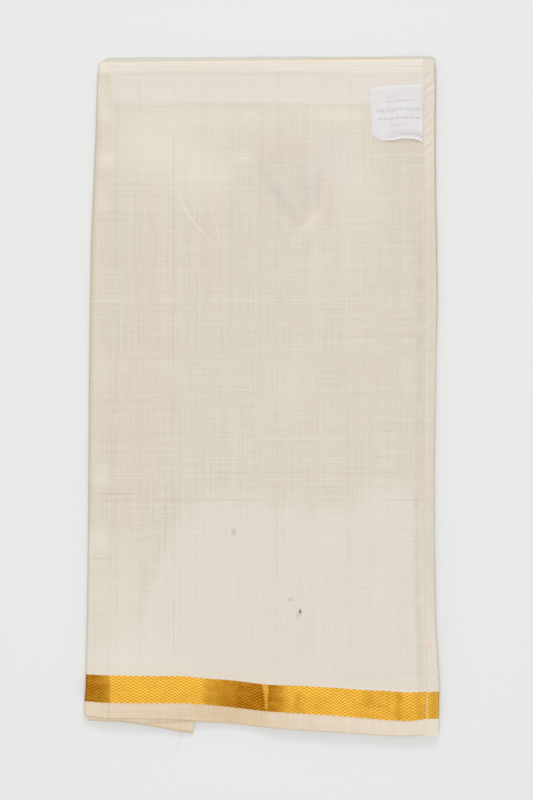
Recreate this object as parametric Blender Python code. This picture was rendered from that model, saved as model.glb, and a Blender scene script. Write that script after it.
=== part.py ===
"""Folded dhoti cloth: a long sheer silk cloth with a woven gold border, folded flat and lying on a
surface. All sizes are in millimetres until the last step, which turns them into metres.

The pile is described from above. "Along" is the distance from the lowest point of the border end
towards the folded top edge, and "across" is the distance from the middle line, positive towards the
hemmed end of the cloth. Each piece of the top layer is a wall laid on one height function."""

import bpy
import numpy as np

MM = 0.001
CLOTH = 1.0  # wall that stands for each piece of cloth
GAP = 0.3  # between pieces that touch
CENTRE = (0.2, 324.4)  # middle of the pile's outline, across and along

# The pile in sections across it. left and right are the top layer's edges, peek is how far the layers
# below stick out past the hem, and height is the top of the pile.
SECTIONS = np.array(
    [
        # along, left, right, peek, height
        (0, -168.8, 168.8, -2.2, 7.8),
        (26, -168.8, 169.0, -2.2, 8.5),
        (45, -167.0, 169.3, -2.2, 9.0),
        (111, -165.3, 165.6, -1.6, 8.6),
        (187, -164.4, 164.5, -1.2, 8.2),
        (263, -164.0, 164.6, -1.0, 8.0),
        (339, -163.4, 165.8, -0.6, 8.0),
        (415, -162.5, 167.2, 1.0, 8.0),
        (472, -161.5, 166.3, 1.6, 8.0),
        (529, -159.0, 165.1, 1.9, 8.0),
        (577, -157.0, 164.8, 1.7, 7.8),
        (615, -156.0, 165.3, 1.9, 7.5),
        (648, -154.2, 164.8, 1.9, 7.3),
    ],
    dtype=[(name, float) for name in ("along", "left", "right", "peek", "height")],
)

# The border end in stations from side to side. edge is the selvedge of the top layer, gold_low and
# gold_high bound the gold band, under is the edge of the layers below, and dip is how far the top
# layer sinks where the layers below stop short of it.
BORDER = np.array(
    [
        # across, edge, gold_low, gold_high, under, dip
        (-166, 19.6, 33.7, 59.4, 16.5, 1.0),
        (-150, 17.3, 32.6, 58.8, 16.0, 0.7),
        (-110, 17.0, 32.0, 58.0, 16.0, 0.6),
        (-72, 15.8, 32.0, 58.0, 17.0, 1.2),
        (-58, 13.8, 30.9, 56.0, 19.0, 3.0),
        (-30, 12.3, 28.2, 54.2, 21.0, 4.0),
        (-15, 10.8, 26.3, 52.3, 20.0, 4.0),
        (0, 8.7, 24.6, 50.4, 16.0, 3.0),
        (13, 7.9, 23.8, 49.4, 12.0, 1.5),
        (28, 6.7, 22.8, 49.2, 9.5, 0.7),
        (42, 5.6, 21.9, 48.5, 8.0, 0.9),
        (70, 4.0, 20.4, 47.0, 6.0, 0.4),
        (99, 2.2, 17.8, 44.7, 4.2, 0.8),
        (120, 0.7, 16.0, 44.0, 2.7, 0.5),
        (142, 0.6, 15.2, 42.3, 2.4, 0.3),
        (156, 1.6, 17.2, 43.4, 3.4, 0.4),
        (167, 1.9, 17.1, 42.8, 4.0, 1.0),
    ],
    dtype=[(name, float) for name in ("across", "edge", "gold_low", "gold_high", "under", "dip")],
)
DIP_REACH = 66.0  # from the selvedge to where the dip has faded out

# The top edge: panel is the fold of the top layer and under the edges of the layers behind it.
TOP_EDGE = np.array(
    [
        # across, panel, under
        (-156, 642.0, 646.4),
        (0, 643.4, 647.4),
        (165, 644.8, 648.0),
    ],
    dtype=[(name, float) for name in ("across", "panel", "under")],
)
STRIP = 13.0  # width of the plain strip along the top fold
CORNER = 3.0  # rounding of the pile's corners

EDGE_DROP = 1.2  # how far the top layer rounds down at its cut edges
EDGE_REACH = 7.0
LEFT_DROP = 1.7  # slope towards the left fold, outside the fold line of the inner layers
LEFT_REACH = 22.0
TURN = 2.4  # radius of the left fold
WRAP_FOOT = 2.2  # height at which the top layer ends below the left fold
SHORTEST_FOOT = 0.4  # upright stretch of the fold that is left where the pile is thin

HEM = 11.0  # width of the turned hem on the end of the cloth
FIELD_ROWS = 30  # rows of points along the field and along the top strip
STRIP_ROWS = 4
# Rows of the rim of the layers below, from the floor up: a fraction of the height, and the depth in
# from their outline. The deep rows are the grooves between bundles of layers.
RIM = (
    (0.00, 1.1),
    (0.07, 0.2),
    (0.20, 0.0),
    (0.26, 1.0),
    (0.33, 0.1),
    (0.47, 0.0),
    (0.53, 1.1),
    (0.60, 0.2),
    (0.76, 0.3),
    (0.82, 1.2),
    (0.89, 0.6),
)
RIM_TOP = 1.5  # depth at which the rim meets the top of the layers below
WRAPPED_ROWS = 0.40  # rows above this fraction are covered by the top layer at the left fold

# Corner of an under layer's selvedge that hangs out at the border end.
FLAP = np.array(
    [
        # across, edge
        (-165, 15.0),
        (-134, 14.0),
        (-115, 11.2),
        (-96, 8.0),
        (-77, 4.2),
        (-64.6, 2.4),
    ],
    dtype=[(name, float) for name in ("across", "edge")],
)
FLAP_TOP = 29.0  # where the flap runs in under the top layer
FLAP_SLANT = 2.3  # how far its end leans across, from the edge up to where it disappears
FLAP_DROOP = 1.6

# The label's corners and its curled lower edge.
LABEL_LEFT_EDGE = (103.5, 106.2)  # across, at the top and at the bottom
LABEL_RIGHT = 153.4
LABEL_TOP = (613.0, 622.6)  # along, at the left and at the right corner
LABEL_BOTTOM = (570.5, 566.8)
LABEL_CURL = 1.6


def column(table, key, name, at):
    """Reads a table's named column at the given places, with its kinks softened over a few millimetres."""
    soft = 5.0
    return sum(np.interp(at + step, table[key], table[name]) for step in (-soft, 0.0, soft)) / 3


def section(name, along):
    return column(SECTIONS, "along", name, along)


def border(name, across):
    return column(BORDER, "across", name, across)


def top_edge(name, across):
    return column(TOP_EDGE, "across", name, across)


def ease(t):
    """Smooth step from 0 to 1."""
    t = np.clip(t, 0.0, 1.0)
    return t * t * (3 - 2 * t)


def corner_loss(across, along):
    """How far an edge pulls back near the pile's corners, as the sagitta of a quarter circle."""
    to_side = np.minimum(across - section("left", along), section("right", along) - across)
    inside = np.clip((CORNER - to_side) / CORNER, 0.0, 1.0)
    return CORNER * (1 - np.sqrt(1 - inside**2)) * 0.6


def pile_top(across, along):
    """Height of the top layer: the section's height, less a rounding along each cut edge, a slope
    down to the left fold, and a dip at the border end where the layers below stop short."""
    from_left = across - section("left", along)
    from_right = section("right", along) - across
    from_border = along - border("edge", across)
    from_top = top_edge("panel", across) - along
    nearest = np.minimum(np.minimum(from_right, from_border), from_top)
    height = section("height", along) - EDGE_DROP * np.exp(-((np.maximum(nearest, 0) / EDGE_REACH) ** 2))
    height -= LEFT_DROP * (1 - ease(from_left / LEFT_REACH))
    return height - border("dip", across) * (1 - ease(from_border / DIP_REACH))


def spread(low, high, count):
    return np.linspace(low, high, count)


def to_metres(points):
    """Moves the pile's own places to the part's frame, origin under its middle, in metres."""
    return (np.asarray(points, dtype=float) - (CENTRE[0], CENTRE[1], 0.0)) * MM


def add_piece(name, points, faces, colour, roughness, metallic=0.0):
    mesh = bpy.data.meshes.new(name)
    mesh.from_pydata(to_metres(points).tolist(), [], faces)
    mesh.update()
    piece = bpy.data.objects.new(name, mesh)
    bpy.context.scene.collection.objects.link(piece)
    material = bpy.data.materials.new(name)
    material.use_nodes = True
    shader = material.node_tree.nodes["Principled BSDF"]
    shader.inputs["Base Color"].default_value = (*colour, 1.0)
    shader.inputs["Roughness"].default_value = roughness
    shader.inputs["Metallic"].default_value = metallic
    mesh.materials.append(material)
    return piece


def wall_faces(rows, columns):
    """Faces of a closed wall whose upper grid of points comes first and its lower grid second."""
    upper = np.arange(rows * columns).reshape(rows, columns)
    lower = upper + rows * columns

    def quads(a, b, c, d):
        return np.stack([a.ravel(), b.ravel(), c.ravel(), d.ravel()], axis=1).tolist()

    faces = quads(upper[:-1, :-1], upper[:-1, 1:], upper[1:, 1:], upper[1:, :-1])
    faces += quads(lower[:-1, :-1], lower[1:, :-1], lower[1:, 1:], lower[:-1, 1:])
    rim_pairs = (
        (upper[0, :-1], upper[0, 1:], lower[0, :-1], lower[0, 1:]),
        (upper[1:, 0], upper[:-1, 0], lower[1:, 0], lower[:-1, 0]),
        (upper[-1, 1:], upper[-1, :-1], lower[-1, 1:], lower[-1, :-1]),
        (upper[:-1, -1], upper[1:, -1], lower[:-1, -1], lower[1:, -1]),
    )
    for first, second, first_low, second_low in rim_pairs:
        faces += quads(first, first_low, second_low, second)
    return faces


def add_wall(name, upper, lower, colour, roughness, metallic=0.0):
    """A wall between two grids of points, each rows by columns by three."""
    rows, columns = upper.shape[:2]
    points = np.concatenate([upper.reshape(-1, 3), lower.reshape(-1, 3)])
    return add_piece(name, points, wall_faces(rows, columns), colour, roughness, metallic)


def plan(low, high, rows, columns):
    """Places of a stretch of the top layer from its lower to its upper line. columns are fractions of
    the way from the left fold to the right edge, and low and high are functions of the across place."""
    nominal = -162 + 326 * columns[None, :]
    share = spread(0, 1, rows)[:, None]
    along = low(nominal) + share * (high(nominal) - low(nominal))
    left, right = section("left", along), section("right", along)
    return left, right, along, columns[None, :]


def layer_grids(low, high, rows, columns):
    """Upper and lower grids of a stretch of the top layer. It lies on the pile, turns down round the
    left fold on a quarter circle and ends in a short upright foot."""
    left, right, along, share = plan(low, high, rows, columns)
    start = left + TURN
    across = start + share * (right - GAP - CLOTH - start)
    upper_flat = np.stack([across, along, pile_top(across, along)], axis=2)
    lower_flat = upper_flat - (0, 0, CLOTH)

    crown = upper_flat[:, :1, 2]
    turn_along = along[:, :1]
    centre = crown - TURN
    angle = np.radians((90, 60, 35, 14))[None, :]

    def turned(radius):
        round_x = start[:, :1] - radius * np.sin(angle)
        round_z = centre + radius * np.cos(angle)
        round_y = np.broadcast_to(turn_along, round_x.shape)
        foot = np.stack([round_x[:, :1], turn_along, np.minimum(WRAP_FOOT, centre - SHORTEST_FOOT)], axis=2)
        return np.concatenate([foot, np.stack([round_x, round_y, round_z], axis=2)], axis=1)

    upper = np.concatenate([turned(TURN), upper_flat], axis=1)
    lower = np.concatenate([turned(TURN - CLOTH), lower_flat], axis=1)
    return upper, lower


def selvedge(across):
    """The top layer's edge at the border end."""
    return border("edge", across) + 0.5 * corner_loss(across, border("edge", across))


def gold_low(across):
    return border("gold_low", across)


def gold_high(across):
    return border("gold_high", across)


def strip_low(across):
    return top_edge("panel", across) - STRIP


def top_fold(across):
    """The top layer's edge at the far end."""
    return top_edge("panel", across) - corner_loss(across, top_edge("panel", across))


def inside(low, high):
    """A stretch's two lines, each drawn in by half the gap that it keeps to its neighbour."""
    return (lambda across: low(across) + GAP / 2), (lambda across: high(across) - GAP / 2)


STRETCHES = (
    # name, lower line, upper line, rows of points, colour, roughness, metallic
    ("lower_selvedge", selvedge, gold_low, 4, (0.84, 0.73, 0.55), 0.55, 0.0),
    ("zari_border", gold_low, gold_high, 4, (0.80, 0.45, 0.05), 0.35, 0.9),
    ("field_panel", gold_high, strip_low, FIELD_ROWS, (0.80, 0.71, 0.56), 0.6, 0.0),
    ("top_strip", strip_low, top_fold, STRIP_ROWS, (0.83, 0.76, 0.64), 0.55, 0.0),
)


def add_top_layer():
    """The top layer in its four stretches: selvedge, gold border, field and plain top strip. The
    border end ripples more than the rest, so its two stretches have more columns."""
    plain = np.concatenate([(0, 0.03, 0.065), spread(0.11, 0.93, 15), under_hem()])
    rippled = np.concatenate([(0, 0.03, 0.065), spread(0.1, 0.94, 25), under_hem()])
    for name, low, high, rows, colour, roughness, metallic in STRETCHES:
        shares = rippled if high in (gold_low, gold_high) else plain
        add_wall(name, *layer_grids(*inside(low, high), rows, shares), colour, roughness, metallic)


def under_hem():
    """Shares of the top layer's width at which its columns lie under the hem's own columns."""
    nominal_width = 330.0
    return 1 - spread(HEM - GAP - CLOTH, 0, 4) / nominal_width


def add_hem(name, along, colour, metallic=0.0):
    """A stretch of the turned hem: it lies on the top layer's end and folds down over its edge."""
    along = np.asarray(along)[:, None]
    right = section("right", along)
    turn = GAP + CLOTH
    inner = right - HEM
    flat_end = right - turn
    flats = inner + spread(0, 1, 4)[None, :] * (flat_end - inner)
    along_flat = np.broadcast_to(along, flats.shape)
    under = pile_top(flats, along_flat) + GAP
    lower_flat = np.stack([flats, along_flat, under], axis=2)
    upper_flat = lower_flat + (0, 0, CLOTH)

    crown = under[:, -1:] - GAP
    angle = np.radians((30, 60, 90))[None, :]

    def turned(radius):
        round_x = flat_end + radius * np.sin(angle)
        round_z = crown + radius * np.cos(angle)
        round_y = np.broadcast_to(along, round_x.shape)
        foot = np.stack([round_x[:, -1:], along, crown - CLOTH], axis=2)
        return np.concatenate([np.stack([round_x, round_y, round_z], axis=2), foot], axis=1)

    upper = np.concatenate([upper_flat, turned(GAP + CLOTH)], axis=1)
    lower = np.concatenate([lower_flat, turned(GAP)], axis=1)
    return add_wall(name, upper, lower, colour, 0.55, metallic)


def add_hems():
    """The hem crosses the selvedge, the gold border and the field, and is one piece in each. Its rows
    are the rows of the stretches that it lies on."""
    at = 158.0
    rows_on = {}
    for name, low, high, rows, *_ in STRETCHES:
        start, end = inside(low, high)
        rows_on[name] = spread(start(at), end(at), rows)
    cream = (0.83, 0.74, 0.58)
    add_hem("end_hem_selvedge", rows_on["lower_selvedge"], cream)
    add_hem("end_hem_zari", rows_on["zari_border"], (0.80, 0.45, 0.05), 0.9)
    add_hem("end_hem_field", np.concatenate([rows_on["field_panel"], rows_on["top_strip"]]), cream)


def flap_room(across, along):
    """How far the layers below are lowered to make room for the flap, fading out well past it."""
    beside = 1 - ease((across - FLAP["across"][-1] - 24) / 10)
    above = 1 - ease((along - FLAP_TOP - 9) / 10)
    return (CLOTH + GAP) * beside * above


def add_flap():
    """The under layer's selvedge. It shows below the top layer at the border end, leans out to a
    free corner, and its end is cut on a slant."""
    across = np.append(np.arange(-164.0, -70.0, 10.5), FLAP["across"][-1])[None, :]
    share = spread(0, 1, 5)[:, None]
    low = column(FLAP, "across", "edge", across)
    along = low + share * (FLAP_TOP - low)
    across = across + FLAP_SLANT * share * ease((across + 110) / 40)
    lift = pile_top(across, np.maximum(along, border("edge", across))) - CLOTH - GAP
    hang = np.clip(border("edge", across) - along, 0, None)
    lift -= FLAP_DROOP * hang / 12
    upper = np.stack([across, along, lift], axis=2)
    return add_wall("under_selvedge", upper, upper - (0, 0, CLOTH), (0.82, 0.68, 0.48), 0.55)


def add_label():
    """The sewn label: a small square wall on the top layer, its lower edge curled up."""
    across_share = spread(0, 1, 7)[None, :]
    down_share = spread(0, 1, 7)[:, None]
    left = LABEL_LEFT_EDGE[1] + down_share * (LABEL_LEFT_EDGE[0] - LABEL_LEFT_EDGE[1])
    across = left + across_share * (LABEL_RIGHT - left)
    bottom = LABEL_BOTTOM[0] + across_share * (LABEL_BOTTOM[1] - LABEL_BOTTOM[0])
    top = LABEL_TOP[0] + across_share * (LABEL_TOP[1] - LABEL_TOP[0])
    along = bottom + down_share * (top - bottom)
    curl = LABEL_CURL * (1 - ease(down_share / 0.25)) * np.sin(np.pi * np.clip(across_share, 0.05, 0.95))
    lower = np.stack([across, along, pile_top(across, along) + GAP + curl], axis=2)
    return add_wall("label", lower + (0, 0, CLOTH), lower, (0.83, 0.80, 0.79), 0.4)


def under_outline(across_share, along_share):
    """Outline and inner grid of the layers below, as places across and along."""
    nominal = -160 + 320 * across_share
    low = border("under", nominal) + corner_loss(nominal, border("under", nominal))
    high = top_edge("under", nominal) - corner_loss(nominal, top_edge("under", nominal))
    along = low + along_share * (high - low)
    left = section("left", along) + GAP
    right = section("right", along) + section("peek", along)
    return left + across_share * (right - left), along


def ring_of(grid):
    """The border points of a grid, once round, starting at its first corner."""
    return np.concatenate([grid[0, :-1], grid[:-1, -1], grid[-1, :0:-1], grid[:0:-1, 0]])


def add_folded_layers():
    """The hidden layers as one rounded solid: flat underneath, grooved round its rim like bundles of
    folded cloth, and held clear of the top layer, its fold and the flap."""
    across_share = np.concatenate([(0, 0.012, 0.04), spread(0.1, 0.9, 13), (0.96, 0.988, 1.0)])[None, :]
    along_share = np.concatenate([(0, 0.008, 0.03, 0.06), spread(0.12, 0.94, 14), (0.975, 0.993, 1.0)])[:, None]
    across, along = under_outline(across_share, along_share)
    rows, columns = across.shape

    inward = np.zeros((rows, columns, 2))
    inward[:, 0, 0], inward[:, -1, 0] = 1, -1
    inward[0, :, 1], inward[-1, :, 1] = 1, -1
    inward = ring_of(inward)
    at_fold = ring_of(np.broadcast_to(across_share < 0.001, across.shape))

    covered = np.minimum(along, top_edge("panel", across))
    clear = pile_top(across, np.maximum(covered, border("edge", across))) - CLOTH - GAP
    clear -= flap_room(across, along)
    clear[:, 0] -= 0.6
    outline = ring_of(np.stack([across, along], axis=2))
    rim_height = ring_of(clear)

    rings = []
    for fraction, depth in RIM:
        wrapped = np.where(at_fold & (fraction > WRAPPED_ROWS), CLOTH + GAP, 0.0)
        place = outline + inward * (depth + wrapped)[:, None]
        rings.append(np.column_stack([place, rim_height * fraction]))

    flat = np.stack([across, along], axis=2)
    shift = np.zeros_like(flat)
    shift[:, 0, 0], shift[:, -1, 0] = RIM_TOP + CLOTH + GAP, -RIM_TOP
    shift[0, :, 1], shift[-1, :, 1] = RIM_TOP, -RIM_TOP
    top = np.dstack([flat + shift, clear]).reshape(-1, 3)

    around = len(outline)
    points = np.concatenate(rings + [top])
    order = ring_of(np.arange(rows * columns).reshape(rows, columns)) + around * len(rings)
    loops = [np.arange(around) + around * k for k in range(len(rings))] + [order]
    faces = [loops[0][::-1].tolist()]
    for lower, upper in zip(loops, loops[1:]):
        after_low, after_up = np.roll(lower, -1), np.roll(upper, -1)
        faces += np.stack([lower, after_low, after_up, upper], axis=1).tolist()
    grid = np.arange(rows * columns).reshape(rows, columns) + around * len(rings)
    corners = (grid[:-1, :-1], grid[:-1, 1:], grid[1:, 1:], grid[1:, :-1])
    faces += np.stack([corner.ravel() for corner in corners], axis=1).tolist()
    return add_piece("folded_layers", points, faces, (0.76, 0.66, 0.50), 0.65)


for old in list(bpy.data.objects):
    bpy.data.objects.remove(old, do_unlink=True)

add_folded_layers()
add_top_layer()
add_flap()
add_hems()
add_label()
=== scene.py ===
# %% [markdown]
# # A folded silk dhoti, lying flat
#
# A dhoti is one long cloth, woven in one piece with a gold border and folded for the shelf. It was
# folded once across its width and then in twelve along its length, so a neat oblong pile of sheer
# silk lies on the table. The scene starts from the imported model, which fixes every size. The looks
# are added round it: fine surfaces worked out with numpy, and materials made of nodes.

# %% Load the frame
import bpy
import numpy as np
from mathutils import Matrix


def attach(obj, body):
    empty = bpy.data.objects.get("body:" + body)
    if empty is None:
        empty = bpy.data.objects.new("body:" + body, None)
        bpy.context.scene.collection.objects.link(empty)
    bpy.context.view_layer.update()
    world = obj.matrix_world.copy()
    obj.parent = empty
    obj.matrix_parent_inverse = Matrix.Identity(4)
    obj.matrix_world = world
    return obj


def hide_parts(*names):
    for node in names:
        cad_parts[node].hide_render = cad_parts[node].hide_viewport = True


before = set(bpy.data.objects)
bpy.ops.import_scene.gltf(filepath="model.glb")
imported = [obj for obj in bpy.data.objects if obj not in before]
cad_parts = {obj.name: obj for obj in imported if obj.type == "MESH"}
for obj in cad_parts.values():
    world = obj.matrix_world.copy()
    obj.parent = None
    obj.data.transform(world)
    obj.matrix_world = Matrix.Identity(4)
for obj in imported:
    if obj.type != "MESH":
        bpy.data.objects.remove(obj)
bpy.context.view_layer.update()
MM = 0.001
print("nodes:", sorted(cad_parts))

# %% [markdown]
# ## The form of the pile
#
# All pieces of the top layer lie on one height function, so they meet without steps. The pile is
# measured in millimetres in its own directions: across, from the middle towards the hemmed end, and
# along, from the border end towards the top fold. Short tables hold the outline at a few stations.
# A table read through a small average has no kinks, and is easier to adjust by hand than a spline.

# %% The tables of the pile
CENTRE = (0.2, 324.4)

SECTIONS = np.array(
    [
        # along, left, right, peek, height
        (0, -168.8, 168.8, -2.2, 7.8),
        (26, -168.8, 169.0, -2.2, 8.5),
        (45, -167.0, 169.3, -2.2, 9.0),
        (111, -165.3, 165.6, -1.6, 8.6),
        (187, -164.4, 164.5, -1.2, 8.2),
        (263, -164.0, 164.6, -1.0, 8.0),
        (339, -163.4, 165.8, -0.6, 8.0),
        (415, -162.5, 167.2, 0.7, 8.0),
        (472, -161.5, 166.3, 1.0, 8.0),
        (529, -159.0, 165.1, 1.2, 8.0),
        (577, -157.0, 164.8, 1.1, 7.8),
        (615, -156.0, 165.3, 1.2, 7.5),
        (648, -154.2, 164.8, 1.0, 7.3),
    ],
    dtype=[(name, float) for name in ("along", "left", "right", "peek", "height")],
)

BORDER = np.array(
    [
        # across, edge, gold_low, gold_high, under, dip
        (-166, 19.6, 33.7, 59.4, 16.5, 1.0),
        (-150, 17.3, 32.6, 58.8, 16.0, 0.7),
        (-110, 17.0, 32.0, 58.0, 16.0, 0.6),
        (-72, 15.8, 32.0, 58.0, 17.0, 1.2),
        (-58, 13.8, 30.9, 56.0, 19.0, 3.0),
        (-30, 12.3, 28.2, 54.2, 21.0, 4.0),
        (-15, 10.8, 26.3, 52.3, 20.0, 4.0),
        (0, 8.7, 24.6, 50.4, 16.0, 3.0),
        (13, 7.9, 23.8, 49.4, 12.0, 1.5),
        (28, 6.7, 22.8, 49.2, 9.5, 0.7),
        (42, 5.6, 21.9, 48.5, 8.0, 0.9),
        (70, 4.0, 20.4, 47.0, 6.0, 0.4),
        (99, 2.2, 17.8, 44.7, 4.2, 0.8),
        (120, 0.7, 16.0, 44.0, 2.7, 0.5),
        (142, 0.6, 15.2, 42.3, 2.4, 0.3),
        (156, 1.6, 17.2, 43.4, 3.4, 0.4),
        (167, 1.9, 17.1, 42.8, 4.0, 1.0),
    ],
    dtype=[(name, float) for name in ("across", "edge", "gold_low", "gold_high", "under", "dip")],
)

TOP_EDGE = np.array(
    [
        # across, panel, under, strip
        (-156, 642.0, 645.6, 12.2),
        (0, 643.4, 646.7, 12.9),
        (165, 644.8, 647.4, 16.0),
    ],
    dtype=[(name, float) for name in ("across", "panel", "under", "strip")],
)


def column(table, key, name, at):
    """A table's named column, read at three places 5 mm apart and averaged."""
    return sum(np.interp(at + step, table[key], table[name]) for step in (-5.0, 0.0, 5.0)) / 3


def section(name, along):
    """A column of the pile's outline and height, at places along it."""
    return column(SECTIONS, "along", name, along)


def border(name, across):
    """A column of the border end's lines, at places across the pile."""
    return column(BORDER, "across", name, across)


def top_edge(name, across):
    """A column of the top fold's lines, at places across the pile."""
    return column(TOP_EDGE, "across", name, across)


print("sections:", len(SECTIONS), " border stations:", len(BORDER))

# %% The height of the top layer
EDGE_DROP, EDGE_REACH = 1.2, 7.0
LEFT_DROP, LEFT_REACH = 1.7, 22.0
DIP_REACH = 66.0
CORNER = 2.4
HEM = 11.0


def ease(t):
    """The smooth step 3t^2 - 2t^3 between 0 and 1."""
    t = np.clip(t, 0.0, 1.0)
    return t * t * (3 - 2 * t)


def bell(distance, width):
    """A Gaussian bump: e to the minus (distance / width) squared."""
    return np.exp(-((distance / width) ** 2))


def corner_loss(across, along):
    """How far an edge pulls back near a corner: a parabola that is steepest at the very side."""
    to_side = np.minimum(across - section("left", along), section("right", along) - across)
    inside = np.clip((2 * CORNER - to_side) / (2 * CORNER), 0.0, 1.0)
    return CORNER * inside**2


def pile_top(across, along):
    """The section's height, less a bell along each cut edge, a slope down to the left fold, and the
    dip at the border end where the layers below stop short."""
    from_left = across - section("left", along)
    from_right = section("right", along) - across
    from_border = along - border("edge", across)
    from_top = top_edge("panel", across) - along
    nearest = np.maximum(np.minimum(np.minimum(from_right, from_border), from_top), 0)
    height = section("height", along) - EDGE_DROP * bell(nearest, EDGE_REACH)
    height -= LEFT_DROP * (1 - ease(from_left / LEFT_REACH))
    return height - border("dip", across) * (1 - ease(from_border / DIP_REACH))


print("height in the middle, in mm:", round(float(pile_top(0.0, 324.0)), 2))

# %% [markdown]
# ## Creases and ripples
#
# Folded silk is never quite flat. It shows a few pressed creases, small pillows along the left fold
# where the bundle is loose, and ripples in the border. Each is placed in a table, with its own
# length, bow, height and width. A few seeded sine waves give the faint unevenness in between. Real
# relief is used and not only bump, so that it also shows from the side.

# %% Creases, listed one by one
CREASES = np.array(
    [
        # from across, from along, to across, to along, bow, height, width
        (-81, 520, -46, 471, 3.0, 0.30, 2.8),
        (-52, 511, -39, 466, -2.5, 0.22, 2.8),
        (-8, 596, -2, 580, 1.5, 0.25, 3.0),
        (-26, 553, -10, 549, 1.0, 0.25, 3.0),
        (36, 476, 58, 499, 2.0, 0.35, 3.0),
        (-162, 232, -118, 231, -1.5, -0.45, 1.6),
        (-163, 171, -138, 168, 1.5, -0.45, 1.8),
        (-160, 531, -140, 527, 1.0, -0.40, 2.2),
        (-141, 605, -137, 470, 1.0, 0.30, 1.8),
        (-144, 470, -143, 90, -1.5, 0.25, 1.8),
        (-156, 121, -131, 96, 2.0, 0.25, 2.6),
        (60, 301, 118, 309, 2.0, -0.22, 3.0),
        (112, 192, 150, 160, 3.0, 0.25, 4.0),
        (96, 96, 146, 92, -3.0, 0.30, 4.5),
        (-60, 90, 30, 84, 4.0, 0.25, 5.0),
    ],
    dtype=[(name, float) for name in ("x0", "y0", "x1", "y1", "bow", "height", "width")],
)

PILLOWS = np.array(
    [
        # across, along, half width, half length, height
        (-150, 586, 8, 13, 0.55),
        (-150, 549, 8, 11, 0.50),
        (-152, 508, 8, 12, 0.45),
        (-154, 430, 7, 20, 0.25),
        (-154, 246, 9, 12, 0.55),
        (-155, 186, 9, 13, 0.60),
        (-152, 135, 8, 16, 0.30),
        (38, 30, 5, 12, -0.55),
        (104, 26, 5, 12, -0.45),
        (123, 30, 3, 14, -0.40),
        (151, 30, 4, 16, -0.40),
        (6, 40, 5, 16, 0.70),
        (-43, 44, 8, 16, 0.40),
    ],
    dtype=[(name, float) for name in ("x", "y", "w", "l", "height")],
)


def crease(row, across, along):
    """A ridge along a bowed line: a bell of the distance to the line, faded out at both ends."""
    run = np.array([row["x1"] - row["x0"], row["y1"] - row["y0"]])
    length = np.hypot(*run)
    way = run / length
    share = ((across - row["x0"]) * way[0] + (along - row["y0"]) * way[1]) / length
    aside = (along - row["y0"]) * way[0] - (across - row["x0"]) * way[1]
    aside = aside - row["bow"] * 4 * share * (1 - share)
    fade = ease(share / 0.25) * ease((1 - share) / 0.25)
    return row["height"] * fade * bell(aside, row["width"])


def ripples(across, along, seed, wavelength, count=7):
    """The mean of a few sine waves, each with its own direction, length and start."""
    draw = np.random.default_rng(seed)
    total = 0.0
    for _ in range(count):
        turn, start = draw.uniform(0, np.pi), draw.uniform(0, 2 * np.pi)
        pace = 2 * np.pi / (wavelength * draw.uniform(0.7, 1.5))
        total = total + np.sin(pace * (across * np.cos(turn) + along * np.sin(turn)) + start)
    return total / count


def relief(across, along):
    """Everything that the smooth height leaves out: creases, pillows and faint ripples."""
    total = 0.35 * ripples(across, along, 3, 120.0) + 0.12 * ripples(across, along, 5, 34.0)
    for row in CREASES:
        total = total + crease(row, across, along)
    for row in PILLOWS:
        total = total + row["height"] * bell(across - row["x"], row["w"]) * bell(along - row["y"], row["l"])
    return total


def silk_top(across, along):
    """Height of the finished top layer. The relief dies out at the right edge, under the hem."""
    calm = ease((section("right", along) - across) / 14.0)
    return pile_top(across, along) + relief(across, along) * (0.25 + 0.75 * calm)


print("creases:", len(CREASES), " pillows:", len(PILLOWS))

# %% [markdown]
# ## Turning grids into meshes
#
# Every piece here is a grid of points, worked out as whole arrays. One function makes the mesh: it
# numbers the points, joins each four neighbours into a face, and stores the cloth's own measure as a
# UV map in millimetres, so that threads follow the cloth round a fold.

# %% The mesh helper
def to_metres(points):
    """From the pile's own places in mm to the part's frame in metres."""
    return (np.asarray(points, dtype=float) - (CENTRE[0], CENTRE[1], 0.0)) * MM


def grid_faces(rows, columns, closed_columns=False):
    """Faces of a grid: each joins a point to the next in its row and the two beyond them. Closed
    columns join the last to the first, as round a tube."""
    index = np.arange(rows * columns).reshape(rows, columns)
    if closed_columns:
        index = np.concatenate([index, index[:, :1]], axis=1)
    corners = (index[:-1, :-1], index[:-1, 1:], index[1:, 1:], index[1:, :-1])
    return np.stack([corner.ravel() for corner in corners], axis=1)


def make_piece(name, points, faces, uv=None, values=None):
    """A smooth mesh object from points in mm and faces as rows of four indices."""
    mesh = bpy.data.meshes.new(name)
    mesh.from_pydata(to_metres(points).tolist(), [], faces.tolist())
    if uv is not None:
        layer = mesh.uv_layers.new(name="cloth_mm")
        corner_of = np.zeros(len(mesh.loops), dtype=np.int32)
        mesh.loops.foreach_get("vertex_index", corner_of)
        layer.data.foreach_set("uv", np.asarray(uv, dtype=np.float32)[corner_of].ravel())
    for label, amount in (values or {}).items():
        attribute = mesh.attributes.new(label, "FLOAT", "POINT")
        attribute.data.foreach_set("value", np.asarray(amount, dtype=np.float32).ravel())
    mesh.update()
    mesh.shade_smooth()
    piece = bpy.data.objects.new(name, mesh)
    bpy.context.scene.collection.objects.link(piece)
    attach(piece, "root")
    print(name, "points:", len(mesh.vertices), "faces:", len(mesh.polygons))
    return piece


def thicken(piece, wall):
    """Gives a sheet its thickness, inwards from the surface that was drawn, and keeps its rim sharp."""
    solid = piece.modifiers.new("wall", "SOLIDIFY")
    solid.thickness = wall * MM
    solid.offset = -1.0
    seen = piece.evaluated_get(bpy.context.evaluated_depsgraph_get())
    finished = bpy.data.meshes.new_from_object(seen)
    finished.set_sharp_from_angle(angle=np.radians(55))
    piece.modifiers.clear()
    piece.data = finished
    return piece


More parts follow.
